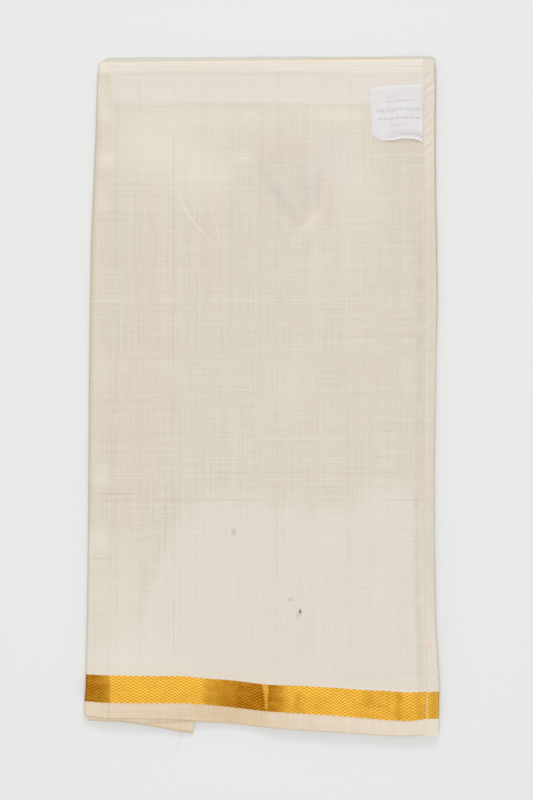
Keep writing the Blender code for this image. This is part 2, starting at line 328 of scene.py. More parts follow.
# %% [markdown]
# ## Node materials
#
# Each material is a small tree of nodes round one Principled shader. One function adds a node, sets
# its properties and joins its inputs. Colours are written as the hex values that a painter would
# pick, and turned to linear light, because Blender mixes colours in linear light.

# %% The material helpers
def colour(code, alpha=1.0):
    """An sRGB hex colour as linear red, green, blue and alpha."""
    channel = np.array([int(code[k : k + 2], 16) for k in (1, 3, 5)]) / 255
    linear = np.where(channel <= 0.04045, channel / 12.92, ((channel + 0.055) / 1.055) ** 2.4)
    return (*linear.tolist(), alpha)


def add(tree, kind, inputs=(), out=0, **settings):
    """Adds a node with its settings, and sets or links its inputs, by name or in order. Gives the
    output that is wanted."""
    made = tree.nodes.new("ShaderNode" + kind)
    for key, value in settings.items():
        setattr(made, key, value)
    for key, value in inputs.items() if isinstance(inputs, dict) else enumerate(inputs):
        if isinstance(value, bpy.types.NodeSocket):
            tree.links.new(value, made.inputs[key])
        else:
            made.inputs[key].default_value = value
    return made.outputs[out]


def new_material(name):
    """An empty material with its Principled shader, ready for nodes."""
    material = bpy.data.materials.new(name)
    material.use_nodes = True
    return material, material.node_tree, material.node_tree.nodes["Principled BSDF"]


def finish_cloth(tree, shader, tone, relief_of, strength, roughness=0.62, sheen=0.10):
    """What all the silks here share: colour, a low bump from their threads, a satin roughness and the
    faint sheen of fine filament."""
    tree.links.new(tone, shader.inputs["Base Color"])
    bump = add(tree, "Bump", {"Height": relief_of, "Strength": strength, "Distance": 0.0002})
    tree.links.new(bump, shader.inputs["Normal"])
    shader.inputs["Roughness"].default_value = roughness
    shader.inputs["Specular IOR Level"].default_value = 0.3
    shader.inputs["Sheen Weight"].default_value = sheen
    shader.inputs["Sheen Roughness"].default_value = 0.4


def coats(tree, tone, layers):
    """Thin coats of colour over a tone. Each has a mask, painted on the mesh or made of nodes, a
    strength and a hex colour."""
    for mask, strength, code in layers:
        where = add(tree, "Attribute", out="Fac", attribute_name=mask) if isinstance(mask, str) else mask
        share = add(tree, "Math", (where, strength), operation="MULTIPLY", use_clamp=True)
        tone = add(tree, "Mix", {0: share, 6: tone, 7: colour(code)}, out=2, data_type="RGBA")
    return tone


print("white is", colour("#FFFFFF")[:3])

# %% [markdown]
# ## The camera, the floor and the light
#
# The cloth lies on a plain pale floor and is seen from straight above. A big soft box overhead and a
# pale surround light it almost evenly. A second soft box behind the top fold is low and broad, and
# gives the short soft shadow along the border end.

# %% Camera
LONG_SIDE = 760.0  # millimetres of floor that the long side of the view takes in
LENS, SENSOR = 85.0, 36.0
TARGET = (5.0, -4.2)

camera_data = bpy.data.cameras.new("camera")
camera_data.lens, camera_data.sensor_width = LENS, SENSOR
camera_data.dof.use_dof = False
camera = bpy.data.objects.new("camera", camera_data)
camera_height = LONG_SIDE * LENS / SENSOR + 8.0
camera.location = (TARGET[0] * MM, TARGET[1] * MM, camera_height * MM)
bpy.context.scene.collection.objects.link(camera)
bpy.context.scene.camera = camera
bpy.context.scene.view_settings.view_transform = "Standard"
print("camera is", round(camera_height), "mm up")

# %% Floor and lights
FLOOR_SIZE = 6.0
floor_mesh = bpy.data.meshes.new("floor")
half = FLOOR_SIZE / 2
floor_corners = [(-half, -half, 0), (half, -half, 0), (half, half, 0), (-half, half, 0)]
floor_mesh.from_pydata(floor_corners, [], [(0, 1, 2, 3)])
floor = bpy.data.objects.new("floor", floor_mesh)
bpy.context.scene.collection.objects.link(floor)

floor_material, _, floor_shader = new_material("matt_pale_paper")
floor_shader.inputs["Base Color"].default_value = colour("#EFF0EF")
floor_shader.inputs["Roughness"].default_value = 0.9
floor_shader.inputs["Specular IOR Level"].default_value = 0.1
floor_mesh.materials.append(floor_material)


def soft_box(name, place, aim, width, depth, watts):
    """A white rectangular area light that faces a point."""
    data = bpy.data.lights.new(name, "AREA")
    data.shape = "RECTANGLE"
    data.size, data.size_y, data.energy = width, depth, watts
    lamp = bpy.data.objects.new(name, data)
    way = np.array(aim) - np.array(place)
    flat = np.hypot(way[0], way[1])
    lamp.location = place
    lamp.rotation_euler = (np.arctan2(flat, -way[2]), 0.0, np.arctan2(-way[0], way[1]))
    bpy.context.scene.collection.objects.link(lamp)
    return lamp


soft_box("overhead_box", (0.0, -0.55, 2.4), (0, 0, 0), 1.5, 1.2, 25.0)
soft_box("far_box", (0.1, 2.2, 1.25), (0, 0, 0), 1.6, 0.7, 16.0)

world = bpy.data.worlds.new("pale_surround")
world.use_nodes = True
surround = world.node_tree.nodes["Background"]
surround.inputs["Color"].default_value = colour("#FFFFFF")
surround.inputs["Strength"].default_value = 0.46
bpy.context.scene.world = world

# %% [markdown]
# ## Slubby sheer silk
#
# The field is a plain weave of cultivated silk with uneven, slubby threads. Thick and thin threads
# run the whole way across and along, so the cloth shows a faint irregular check. It is sheer: where
# the layers below lie tight against it, it looks smooth and pale, and where they don't, a greyer
# weave shows. So a few painted masks are worked out for each point of the mesh, and the threads are
# noise stretched very long in one direction and kept thin in the other.

# %% Masks on the cloth
def spot(across, along, x, y, wide, long, lean=0.0):
    """An elliptical soft spot, leaned across by lean mm for each mm along."""
    return bell(across - x - lean * (along - y), wide) * bell(along - y, long)


def band_between(value, low, high, soft):
    """1 between two values, with soft ends."""
    return ease((value - low) / soft + 0.5) * ease((high - value) / soft + 0.5)


# The spots at (46, 487) and (-14, 552) lie along creases: they are painted highlight on the crests.
PALE_SPOTS = np.array(
    [
        # across, along, half width, half length, lean, amount
        (-150, 592, 9, 9, 0.0, 0.65),
        (-149, 548, 9, 8, 0.0, 0.75),
        (-153, 508, 8, 9, 0.0, 0.45),
        (-154, 246, 10, 9, 0.0, 0.60),
        (-155, 186, 10, 11, 0.0, 0.75),
        (-104, 562, 46, 34, 0.0, 0.75),
        (-52, 535, 30, 26, 0.0, 0.55),
        (-70, 590, 60, 10, 0.0, 0.30),
        (-14, 552, 12, 6, 0.3, 0.45),
        (76, 590, 30, 6, 0.0, 0.60),
        (46, 487, 7, 16, 0.6, 0.40),
        (96, 520, 26, 60, 0.0, 0.35),
        (140, 350, 9, 12, 0.0, 0.30),
        (60, 440, 30, 30, 0.0, 0.18),
        (24, 330, 26, 34, 0.0, 0.16),
        (-150, 350, 8, 16, 0.0, 0.30),
        (-130, 60, 60, 30, 0.0, 0.60),
        (-140, 130, 30, 50, 0.0, 0.45),
        (-152, 612, 10, 14, 0.0, 0.60),
        (-10, 585, 50, 16, 0.0, 0.35),
        (60, 600, 60, 12, 0.0, 0.25),
    ],
    dtype=[(name, float) for name in ("x", "y", "w", "l", "lean", "amount")],
)


def tight_zone(across, along):
    """Where the layers below lie tight: most of the border end, with an uneven outline."""
    stations = (-170, -140, -118, -100, -80, -50, -10, 20, 50, 80, 100, 115, 132, 150, 170)
    limits = (84, 88, 104, 150, 205, 226, 226, 222, 218, 219, 231, 242, 244, 234, 222)
    limit = np.interp(across, stations, limits)
    limit = limit + 7 * ripples(across, along, 11, 42.0) + 4 * ripples(across, along, 12, 15.0)
    return ease((limit - along) / 32 + 0.5)


def masks(across, along):
    """tight: smooth and pale; pale: soft lighter spots, two of them painted highlight on crease crests;
    blush and shade: faint warm and grey tints from below; inner_band: the straight edge of an inner
    layer, seen through this one."""
    tight = tight_zone(across, along)
    pale = 0.0
    for row in PALE_SPOTS:
        pale = pale + row["amount"] * spot(across, along, row["x"], row["y"], row["w"], row["l"], row["lean"])
    blush = 0.8 * spot(across, along, -104, 420, 9, 60) + 0.5 * spot(across, along, -48, 470, 8, 40)
    blush = blush + 0.8 * spot(across, along, 28, 558, 20, 7) + 0.8 * spot(across, along, 61, 515, 6, 20)
    blush = blush + 0.35 * spot(across, along, -120, 300, 20, 60) + 0.5 * spot(across, along, 44, 493, 11, 5)
    shade = 0.35 * spot(across, along, 42, 520, 16, 26) + 0.6 * spot(across, along, 54, 520, 3.5, 17)
    shade = shade + 0.85 * spot(across, along, 17, 515, 6, 30, -0.64)
    inner = band_between(along, 602.5 - 0.004 * across, 630.0, 2.4)
    inner = inner * ease((across + 145 - 0.16 * (629.5 - along)) / 3)
    inner = np.maximum(inner, 0.45 * spot(across, along, 66, 548, 34, 48))
    return {"tight": tight, "pale": pale, "blush": blush, "shade": shade, "inner_band": inner}


print("pale spots:", len(PALE_SPOTS))

# %% The silk's material
THREAD = 1.7  # mm between threads as drawn; the real 0.25 mm is too fine to show, so it is coarser


def grains(tree, uv, across, along, detail=2.0, seed=0.0):
    """Noise whose grains are so many mm wide across and along."""
    scaled = add(tree, "VectorMath", (uv, (1 / across, 1 / along, 0.0)), operation="MULTIPLY")
    wanted = {"Vector": scaled, "W": seed, "Scale": 1.0, "Detail": detail, "Roughness": 0.65}
    return add(tree, "TexNoise", wanted, noise_dimensions="4D")


def woven(tree, uv, sizes, low, high, seed):
    """Threads as the sum of long grains, each as wide across and along as its pair says, spread
    smoothly between two sums to 0 and 1."""
    total = 0.0
    for number, (across, along) in enumerate(sizes):
        threads = grains(tree, uv, across, along, 2.0, seed + number)
        total = add(tree, "Math", (total, threads), operation="ADD")
    return add(tree, "MapRange", (total, low, high), interpolation_type="SMOOTHSTEP")


WAVER = 1.4  # mm that an odd thread wanders from side to side


def odd_threads(tree, uv, place, rows, fading, seed):
    """Single odd threads. On each row's place the value is its weight, and it falls to 0 one width
    away. The threads waver, and fade in and out along their length."""
    waver = add(tree, "Math", (grains(tree, uv, 60.0, 60.0, 1.0, seed), WAVER), operation="MULTIPLY")
    wavering = add(tree, "Math", (place, waver), operation="ADD")
    most = 0.0
    for number, (centre, width, weight) in enumerate(rows):
        offset = add(tree, "Math", (wavering, centre + WAVER / 2), operation="SUBTRACT")
        aside = add(tree, "Math", (offset,), operation="ABSOLUTE")
        line = add(tree, "MapRange", (aside, width, 0.0, 0.0, weight), interpolation_type="SMOOTHSTEP")
        patch = grains(tree, uv, *fading, 1.0, seed + 1 + number)
        seen = add(tree, "MapRange", (patch, 0.38, 0.62), interpolation_type="SMOOTHSTEP")
        line = add(tree, "Math", (line, seen), operation="MULTIPLY")
        most = add(tree, "Math", (most, line), operation="MAXIMUM")
    return most


def blot(tree, uv, x, y, wide, long, lean, soft, seed):
    """1 inside an ellipse about a place on the cloth, with an uneven soft rim. It leans across by lean
    mm for each mm along, so a long thin one is a crease."""
    away = add(tree, "VectorMath", (uv, (x, y, 0.0)), operation="SUBTRACT")
    across = add(tree, "SeparateXYZ", (away,), out="X")
    along = across.node.outputs["Y"]
    upright = add(tree, "Math", (along, -lean, across), operation="MULTIPLY_ADD")
    beside = add(tree, "CombineXYZ", (upright, along, 0.0))
    scaled = add(tree, "VectorMath", (beside, (1 / wide, 1 / long, 0.0)), operation="MULTIPLY")
    distance = add(tree, "VectorMath", (scaled,), out="Value", operation="LENGTH")
    rim = grains(tree, uv, 1.5, 1.5, 2.0, seed)
    uneven = add(tree, "Math", (rim, 1.2, distance), operation="MULTIPLY_ADD")
    return add(tree, "MapRange", (uneven, 1.6 + soft, 1.6 - soft), interpolation_type="SMOOTHSTEP")


# Odd threads by their place, width and weight: ends run along the cloth, picks run across it.
DARK_ENDS = (
    (-82.8, 1.3, 0.42),
    (-115.3, 1.2, 0.30),
    (-137.0, 1.4, 0.30),
    (15.6, 1.3, 0.25),
    (84.0, 1.0, 0.20),
)
DARK_PICKS = ((251.3, 1.0, 0.35), (237.9, 1.1, 0.35), (225.2, 1.2, 0.40), (545.0, 1.0, 0.20))
LIGHT_PICKS = (
    (414.6, 1.5, 0.35),
    (330.0, 1.0, 0.20),
    (283.0, 1.0, 0.30),
    (262.0, 1.0, 0.22),
    (240.0, 1.0, 0.20),
)
LIGHT_ENDS = (
    (-94.0, 1.0, 0.30),
    (-24.0, 0.9, 0.25),
    (56.5, 1.0, 0.35),
    (116.0, 1.0, 0.30),
    (96.0, 0.9, 0.30),
)

BLOTS = (
    # across, along, half width, half length, lean, softness, strength, colour: stains first
    (-25.8, 195.0, 1.9, 3.9, 0.0, 0.8, 0.36, "#A7A097"),
    (37.6, 119.4, 0.9, 1.7, 0.0, 0.3, 1.00, "#4A2A1B"),
    (36.9, 117.8, 2.4, 4.0, 0.3, 0.8, 0.28, "#A98F76"),
    (28.4, 131.0, 1.8, 2.0, 0.0, 0.8, 0.28, "#8F8A83"),
    (21.0, 194.0, 1.6, 2.2, 0.0, 0.8, 0.22, "#B9AE9C"),
    (-91.2, 218.5, 2.2, 2.2, 0.0, 0.8, 0.25, "#B9AE9C"),
    (148.0, 221.0, 2.2, 3.4, 0.0, 0.8, 0.30, "#C9BCA9"),
    # and painted highlight on the crests of fine creases
    (-75.0, 508.5, 0.9, 10.0, -0.54, 0.9, 0.38, "#F5EDE0"),
    (-67.0, 494.0, 0.9, 10.0, -0.66, 0.9, 0.42, "#F5EDE0"),
    (-56.0, 480.5, 0.9, 11.0, -0.92, 0.9, 0.38, "#F5EDE0"),
    (-46.8, 500.0, 0.7, 9.0, -0.34, 0.9, 0.30, "#F5EDE0"),
    (-41.5, 482.0, 0.7, 11.0, -0.24, 0.9, 0.28, "#F5EDE0"),
    (-15.0, 550.0, 4.0, 0.8, 0.0, 0.9, 0.50, "#F7F1E8"),
    (-10.0, 592.0, 4.5, 0.7, 0.0, 0.9, 0.45, "#F7F1E8"),
    (-2.0, 587.0, 3.5, 0.7, 0.0, 0.9, 0.35, "#F7F1E8"),
    (-100.0, 601.3, 11.0, 0.6, 0.0, 0.9, 0.45, "#F5EFE6"),
    # and painted shade in the fine hollows beside the left fold
    (-139.0, 231.0, 19.0, 0.6, 0.0, 0.6, 0.40, "#BDAE8C"),
    (-151.0, 169.4, 12.0, 0.6, 0.0, 0.6, 0.35, "#BDAE8C"),
)


def slubby_silk():
    """Sheer silk in plain weave, woven of uneven slubby thread: it gives a soft irregular check."""
    material, tree, shader = new_material("sheer_slubby_silk")
    uv = add(tree, "UVMap", uv_map="cloth_mm")
    split = add(tree, "SeparateXYZ", (uv,), out="X")
    across, along = split, split.node.outputs["Y"]

    long_threads, short_threads = (260.0, THREAD), (THREAD * 0.9, 40.0)
    sizes = (long_threads, (THREAD, 340.0), (26.0, THREAD * 0.9), short_threads)
    check = woven(tree, uv, sizes, 1.55, 2.45, 1.0)
    broad = woven(tree, uv, ((30.0, 300.0), (420.0, 26.0)), 0.75, 1.25, 5.0)
    loose = add(tree, "Mix", {0: check, 6: colour("#D8CEBB"), 7: colour("#E6DDCD")}, out=2, data_type="RGBA")
    tight = add(tree, "Mix", {0: check, 6: colour("#E1D9CB"), 7: colour("#E8E1D5")}, out=2, data_type="RGBA")
    under = add(tree, "Attribute", out="Fac", attribute_name="tight")
    tone = add(tree, "Mix", {0: under, 6: loose, 7: tight}, out=2, data_type="RGBA")
    # Painted highlight: a scalloped pale line on small puffs just above the gold, stronger towards the right.
    to_gold = add(tree, "Attribute", out="Fac", attribute_name="to_gold")
    near = add(tree, "Math", (grains(tree, uv, 2.6, 3.0, 1.0, 9.0), 3.6, to_gold), operation="MULTIPLY_ADD")
    beside = add(tree, "MapRange", (near, 4.6, 3.2), interpolation_type="SMOOTHSTEP")
    puff_highlight = add(tree, "Attribute", out="Fac", attribute_name="puff_highlight")
    scallop = add(tree, "Math", (beside, puff_highlight), operation="MULTIPLY")
    # Among these coats, grey and edge are painted shade, crease_light and the scallop are painted highlight,
    # and some blots are painted highlight and shade.
    layers = [
        (broad, 0.25, "#E4DACA"),
        ("inner_band", 0.52, "#F0E9E6"),
        ("pale", 0.9, "#F0E7D9"),
        ("blush", 0.4, "#E6CFBF"),
        ("shade", 0.45, "#C9C1BE"),
        ("warm", 0.8, "#EADECC"),
        ("grey", 0.8, "#D3CBBD"),
        ("edge", 1.0, "#CDBB98"),
        (odd_threads(tree, uv, across, DARK_ENDS, (60.0, 46.0), 20.0), 0.8, "#C6B999"),
        (odd_threads(tree, uv, across, LIGHT_ENDS, (60.0, 60.0), 30.0), 0.8, "#F0E9DC"),
        (odd_threads(tree, uv, along, DARK_PICKS, (40.0, 60.0), 50.0), 0.8, "#C6B999"),
        (odd_threads(tree, uv, along, LIGHT_PICKS, (44.0, 60.0), 40.0), 0.8, "#F2ECE0"),
        ("crease_light", 1.0, "#F6F0E6"),
        (scallop, 0.55, "#F2EADF"),
    ]
    for number, (*form, strength, code) in enumerate(BLOTS):
        layers.append((blot(tree, uv, *form, 60.0 + number), strength, code))
    finish_cloth(tree, shader, coats(tree, tone, layers), check, 0.25)
    return material


silk = slubby_silk()
print("silk nodes:", len(silk.node_tree.nodes))

# %% [markdown]
# ## The top layer
#
# The top layer is one cloth, drawn as four stretches so that each can have its own weave: the
# selvedge, the gold border, the field and the plain strip under the top fold. They share one function,
# which lays a grid on the pile, turns it down round the left fold on a quarter circle, and tucks it
# in below. Neighbours share their boundary line, so no gap shows.

# %% Grids of the top layer
TURN = 2.4
WRAP_FOOT, SHORTEST_FOOT = 2.2, 0.4
TUCK_TURN, TUCK = 0.9, 5.0
UNDER_HEM = 1.0  # how far inside the hem's outer fold the top layer ends
SILK_WALL, FINE_WALL = 0.3, 0.25
FIRST_LEFT, FIRST_RIGHT = -162.0, 164.0  # a first guess of the outline
SETTLING_ROUNDS = 4  # how often that guess is corrected


def wrapped_grid(low, high, rows, columns, lift=lambda across, along, share: 0.0):
    """Points and cloth measure of a stretch of the top layer. Flat part: a grid between two lines at
    the height of the silk. The lines depend on the place across and the outline on the place along, so
    they are read by turns until they settle. Left fold: a quarter circle down, an upright, a small
    quarter circle in and a tuck. The cloth's own measure across is the path length from the start of
    the fold."""
    share_along = np.linspace(0, 1, rows)[:, None]
    share_across = np.linspace(0, 1, columns)[None, :]
    across = FIRST_LEFT + share_across * (FIRST_RIGHT - FIRST_LEFT)
    for _ in range(SETTLING_ROUNDS):
        along = low(across) + share_along * (high(across) - low(across))
        left, right = section("left", along), section("right", along)
        start = left + TURN
        across = start + share_across * (right - UNDER_HEM - start)
    height = silk_top(across, along) + lift(across, along, share_along)
    flat = np.stack([across, along, height], axis=2)

    crown, edge = height[:, :1], left[:, :1]
    foot = np.minimum(WRAP_FOOT, crown - TURN - SHORTEST_FOOT)
    down = np.radians(np.linspace(10, 90, 7))[None, :]
    inward = np.radians(np.linspace(0, 90, 4))[None, :]
    turn_x = edge + TURN * (1 - np.sin(down))
    turn_z = crown - TURN * (1 - np.cos(down))
    hook_x = edge + TUCK_TURN * (1 - np.cos(inward))
    hook_z = foot - TUCK_TURN * np.sin(inward)
    tuck_x, tuck_z = edge + TUCK, hook_z[:, -1:]
    wrap_x = np.concatenate([tuck_x, hook_x[:, ::-1], turn_x[:, ::-1]], axis=1)
    wrap_z = np.concatenate([tuck_z, hook_z[:, ::-1], turn_z[:, ::-1]], axis=1)
    wrap_along = low(wrap_x) + share_along * (high(wrap_x) - low(wrap_x))
    wrap = np.stack([wrap_x, wrap_along, wrap_z], axis=2)

    points = np.concatenate([wrap, flat], axis=1)
    steps = np.linalg.norm(np.diff(points, axis=1), axis=2)
    path = np.concatenate([np.zeros((rows, 1)), np.cumsum(steps, axis=1)], axis=1)
    path = path - path[:, wrap.shape[1], None] + start[:, :1]
    measure = np.stack([path, points[..., 1]], axis=2)
    return points, measure


def add_grid(name, points, measure, values=None):
    """A piece from a grid of points, with the cloth's measure as its UV map and values by name."""
    faces = grid_faces(*points.shape[:2])
    flat_values = {label: amount.ravel() for label, amount in (values or {}).items()}
    return make_piece(name, points.reshape(-1, 3), faces, measure.reshape(-1, 2), flat_values)


def selvedge_line(across):
    """The free edge of the cloth, drawn back a little at both corners."""
    return border("edge", across) + 0.5 * corner_loss(across, border("edge", across))


def gold_low(across):
    """Where the selvedge ends and the gold begins."""
    return border("gold_low", across)


def gold_high(across):
    """Where the gold ends and the field begins."""
    return border("gold_high", across)


def strip_low(across):
    """Where the field ends and the strip begins."""
    return top_edge("panel", across) - top_edge("strip", across)


def top_fold(across):
    """The top fold's line, drawn back a little at both corners."""
    return top_edge("panel", across) - corner_loss(across, top_edge("panel", across))


# %% The field
FIELD_STEP = 2.1  # mm between points: fine enough for the creases
LIT_CREASE = CREASES[4]  # the one whose crest gets a painted highlight


def field_values(measure):
    """The painted masks of the field, from the cloth's own measure."""
    across, along = measure[..., 0], measure[..., 1]
    values = masks(across, along)
    to_gold = along - gold_high(across)
    to_left = across - section("left", along)
    to_hem = section("right", along) - HEM - across
    values["warm"] = 0.75 * bell(to_gold, 9.0) + 0.35 * bell(to_left - 6, 7.0)
    # grey is painted shade: a strip beside the hem's inner edge, and a thin line beside the fold's ridge 21
    # mm in from the left fold.
    stripe = band_between(to_hem, 1.0, 8.0, 3.0) * band_between(along, 40.0, 480.0, 30.0)
    values["grey"] = stripe * (0.48 + 0.7 * ripples(across, along, 61, 20.0))
    values["grey"] = values["grey"] + 0.25 * bell(to_left - 21, 2.0)
    # edge is painted shade where the cloth turns down round the left fold.
    values["edge"] = 0.6 * ease((1.0 - to_left) / 2.5)
    rolled = band_between(to_left, -3.0, 4.2, 1.6) * band_between(along, 195.0, 600.0, 40.0)
    values["edge"] = values["edge"] + 0.28 * rolled
    values["to_gold"] = to_gold
    values["puff_highlight"] = 0.08 + 0.60 * ease((across - 40) / 60)
    # crease_light is painted highlight on that crease's crest.
    values["crease_light"] = 0.2 * crease(LIT_CREASE, across, along) / LIT_CREASE["height"]
    return values


FIELD_LONG, FIELD_WIDE = 590, 333
field_rows, field_columns = round(FIELD_LONG / FIELD_STEP), round(FIELD_WIDE / FIELD_STEP)
points, measure = wrapped_grid(gold_high, strip_low, field_rows, field_columns)
field = add_grid("silk_field", points, measure, field_values(measure))
field.data.materials.append(silk)
thicken(field, SILK_WALL)
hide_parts("field_panel")

# %% [markdown]
# ## The strip under the top fold
#
# The layers turn over at the top fold, so along it the cloth is seen several layers thick, and a
# paler, closer strip shows. The grid simply goes on over the edge: a small half circle and a tuck.

# %% The strip and the fold
FOLD_TURN, FOLD_TUCK = 0.9, 3.0
STRIP_ROWS = 9


def fold_rows(points, measure, turn, tuck, wrapped=11):
    """Adds rows beyond the last one: a half circle of the given radius, then a tuck back under. The
    columns that already go round the left fold turn over only a little."""
    angle = np.radians(np.linspace(20, 180, 9))[:, None]
    ahead = np.concatenate([turn * np.sin(angle), [[-tuck]]])
    below = np.concatenate([turn * (1 - np.cos(angle)), [[2 * turn]]])
    share = np.ones(points.shape[1])
    share[:wrapped] = 0.12 + 0.88 * ease((np.arange(wrapped) - 4) / (wrapped - 4))
    last = np.repeat(points[-1:], len(ahead), axis=0)
    last[..., 1] += ahead * share
    last[..., 2] = np.maximum(last[..., 2] - below * share, 0.4)
    path = np.concatenate([turn * angle, [[turn * np.pi + tuck]]])
    further = np.repeat(measure[-1:], len(ahead), axis=0)
    further[..., 1] += path
    return np.concatenate([points, last]), np.concatenate([measure, further])


def closer_silk():
    """The same silk where several layers lie together: closer, warmer and lighter, with fine lines
    along the fold."""
    material, tree, shader = new_material("layered_silk")
    uv = add(tree, "UVMap", uv_map="cloth_mm")
    check = woven(tree, uv, ((300.0, 1.6), (90.0, 1.2)), 0.7, 1.3, 11.0)
    tone = add(tree, "Mix", {0: check, 6: colour("#E7DECE"), 7: colour("#F2EADE")}, out=2, data_type="RGBA")
    # Coats: painted highlight on the fold's crest, painted shadow at the step, and painted shade behind the
    # fold and along the left fold.
    layers = (("warm", 0.9, "#F6EBD8"), ("grey", 0.9, "#D6CBB6"), ("edge", 1.0, "#CDBB98"))
    finish_cloth(tree, shader, coats(tree, tone, layers), check, 0.25, 0.58)
    return material


layered = closer_silk()


def strip_values(measure):
    """warm: painted highlight on the crest of the fold, and a warmer band near the left fold; grey:
    painted shadow at the step down to the field, and painted shade behind the fold; edge: painted
    shade along the left fold."""
    across, along = measure[..., 0], measure[..., 1]
    to_fold = top_edge("panel", across) - along
    to_left = across - section("left", along)
    step = 0.45 * bell(to_fold - top_edge("strip", across) + 0.6, 1.1)
    return {
        "warm": 0.9 * bell(to_fold - 0.6, 1.6) + 0.4 * bell(to_left - 5, 6.0),
        "grey": step + 0.8 * ease((-to_fold - 0.6) / 1.0),
        "edge": 0.6 * ease((1.0 - to_left) / 2.5),
    }


def strip_high(across):
    """Where the strip begins to turn over the top fold."""
    return top_fold(across) - FOLD_TURN


points, measure = wrapped_grid(strip_low, strip_high, STRIP_ROWS, field_columns)
points, measure = fold_rows(points, measure, FOLD_TURN, FOLD_TUCK)
strip = add_grid("silk_top_strip", points, measure, strip_values(measure))
strip.data.materials.append(layered)
thicken(strip, SILK_WALL)
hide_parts("top_strip")

# %% [markdown]
# ## The gold border
#
# The border is woven with gold-wrapped thread, called zari. The ground is long smooth floats of gold
# that shine like metal. Across it run nine rows of zigzags, where a duller thread ties the floats
# down. So the ground goes from bright yellow to dark brown as the cloth bends, and the zigzags stay
# nearly the same: they read dark on the bright ground and light on the dark one. Here that change is
# painted reflection: a tone painted on the mesh blends a lit and a shaded copy of the gold. One
# material holds both, with values for the gold floats, values for the duller ties, and the zigzags to
# choose by.

# %% The zari material
ZIGZAG_ROWS = 9
ZIGZAG_PITCH, ZIGZAG_PERIOD, ZIGZAG_RISE = 2.88, 5.6, 2.65  # mm


def zari():
    """Woven gold thread. Floats shine like metal and ties are duller and rougher. The tone painted on
    the mesh is painted reflection: it says how bright the floats look at a place, and blends a lit
    and a shaded copy of the gold."""
    material, tree, shader = new_material("woven_zari_gold")
    uv = add(tree, "UVMap", uv_map="cloth_mm")
    across = add(tree, "SeparateXYZ", (uv,), out="X")
    along = across.node.outputs["Y"]
    run = add(tree, "Math", (grains(tree, uv, 9.0, 4.0, 1.0, 21.0), 0.9, across), operation="MULTIPLY_ADD")
    tooth = add(tree, "Math", (run, ZIGZAG_PERIOD / 2), operation="PINGPONG")
    rise = add(tree, "Math", (tooth, -ZIGZAG_RISE / (ZIGZAG_PERIOD / 2), along), operation="MULTIPLY_ADD")
    row = add(tree, "Math", (rise, ZIGZAG_PITCH), operation="DIVIDE")
    phase = add(tree, "Math", (add(tree, "Math", (row,), operation="FRACT"), 0.5), operation="SUBTRACT")
    aside = add(tree, "Math", (phase,), operation="ABSOLUTE")
    tie = add(tree, "MapRange", (aside, 0.21, 0.05), interpolation_type="SMOOTHSTEP")
    floats = grains(tree, uv, 0.9, 2.2, 2.0, 22.0)
    # bright and dark are a lit and a shaded copy of the gold ground.
    bright = {0: floats, 6: colour("#D99D20"), 7: colour("#FBCD5C")}
    bright = add(tree, "Mix", bright, out=2, data_type="RGBA")
    dark = {0: floats, 6: colour("#7A4200"), 7: colour("#9A5900")}
    dark = add(tree, "Mix", dark, out=2, data_type="RGBA")
    # Painted reflection: the mesh's tone, with noise for glints and clouds, blends the lit and the shaded
    # copies of the floats and of the ties.
    painted_reflection = add(tree, "Attribute", out="Fac", attribute_name="tone")
    sparks, clouds = grains(tree, uv, 1.4, 1.2, 1.0, 23.0), grains(tree, uv, 16.0, 9.0, 2.0, 24.0)
    glints = add(tree, "Math", (sparks, 1.0, painted_reflection), operation="MULTIPLY_ADD")
    mottled = add(tree, "Math", (clouds, 1.0, glints), operation="MULTIPLY_ADD")
    lit = add(tree, "Math", (mottled, 1.0), operation="SUBTRACT")
    ground = add(tree, "Mix", {0: lit, 6: dark, 7: bright}, out=2, data_type="RGBA")
    knots = {0: lit, 6: colour("#E0A01C"), 7: colour("#BA8110")}
    knots = add(tree, "Mix", knots, out=2, data_type="RGBA")
    tone = add(tree, "Mix", {0: tie, 6: ground, 7: knots}, out=2, data_type="RGBA")
    proud = add(tree, "Math", (1.0, tie), operation="SUBTRACT")
    finish_cloth(tree, shader, tone, proud, 0.3, sheen=0.0)
    shader.inputs["Specular IOR Level"].default_value = 0.08
    tree.links.new(add(tree, "MapRange", (tie, 0.0, 1.0, 0.70, 0.40)), shader.inputs["Metallic"])
    tree.links.new(add(tree, "MapRange", (tie, 0.0, 1.0, 0.55, 0.65)), shader.inputs["Roughness"])
    return material


gold = zari()

BORDER_REFLECTION = np.array(
    [
        # across, painted reflection at the lower edge, painted reflection at the upper edge
        (-170, 0.12, 0.10),
        (-160, 0.10, 0.12),
        (-150, 0.25, 0.35),
        (-144.2, 0.35, 0.50),
        (-142.6, 0.98, 1.02),
        (-110, 1.02, 0.96),
        (-58, 1.02, 1.02),
        (-53, 0.68, 0.62),
        (-42, 0.40, 0.50),
        (-30, 0.12, 0.42),
        (-18, 0.03, 0.15),
        (2, 0.00, 0.05),
        (9.5, 0.08, 0.10),
        (14, 0.20, 0.22),
        (22, 0.55, 0.55),
        (30, 0.72, 0.92),
        (36, 0.50, 0.95),
        (44, 0.90, 1.00),
        (90, 1.00, 1.00),
        (100, 0.90, 0.85),
        (106, 0.72, 0.70),
        (114, 0.92, 0.90),
        (126, 0.90, 0.92),
        (131.5, 0.60, 0.62),
        (137, 0.95, 1.00),
        (148, 0.95, 0.90),
        (152, 0.68, 0.75),
        (157, 0.85, 0.70),
        (164, 1.00, 0.90),
        (170, 0.95, 0.90),
    ],
    dtype=[(name, float) for name in ("across", "low", "high")],
)


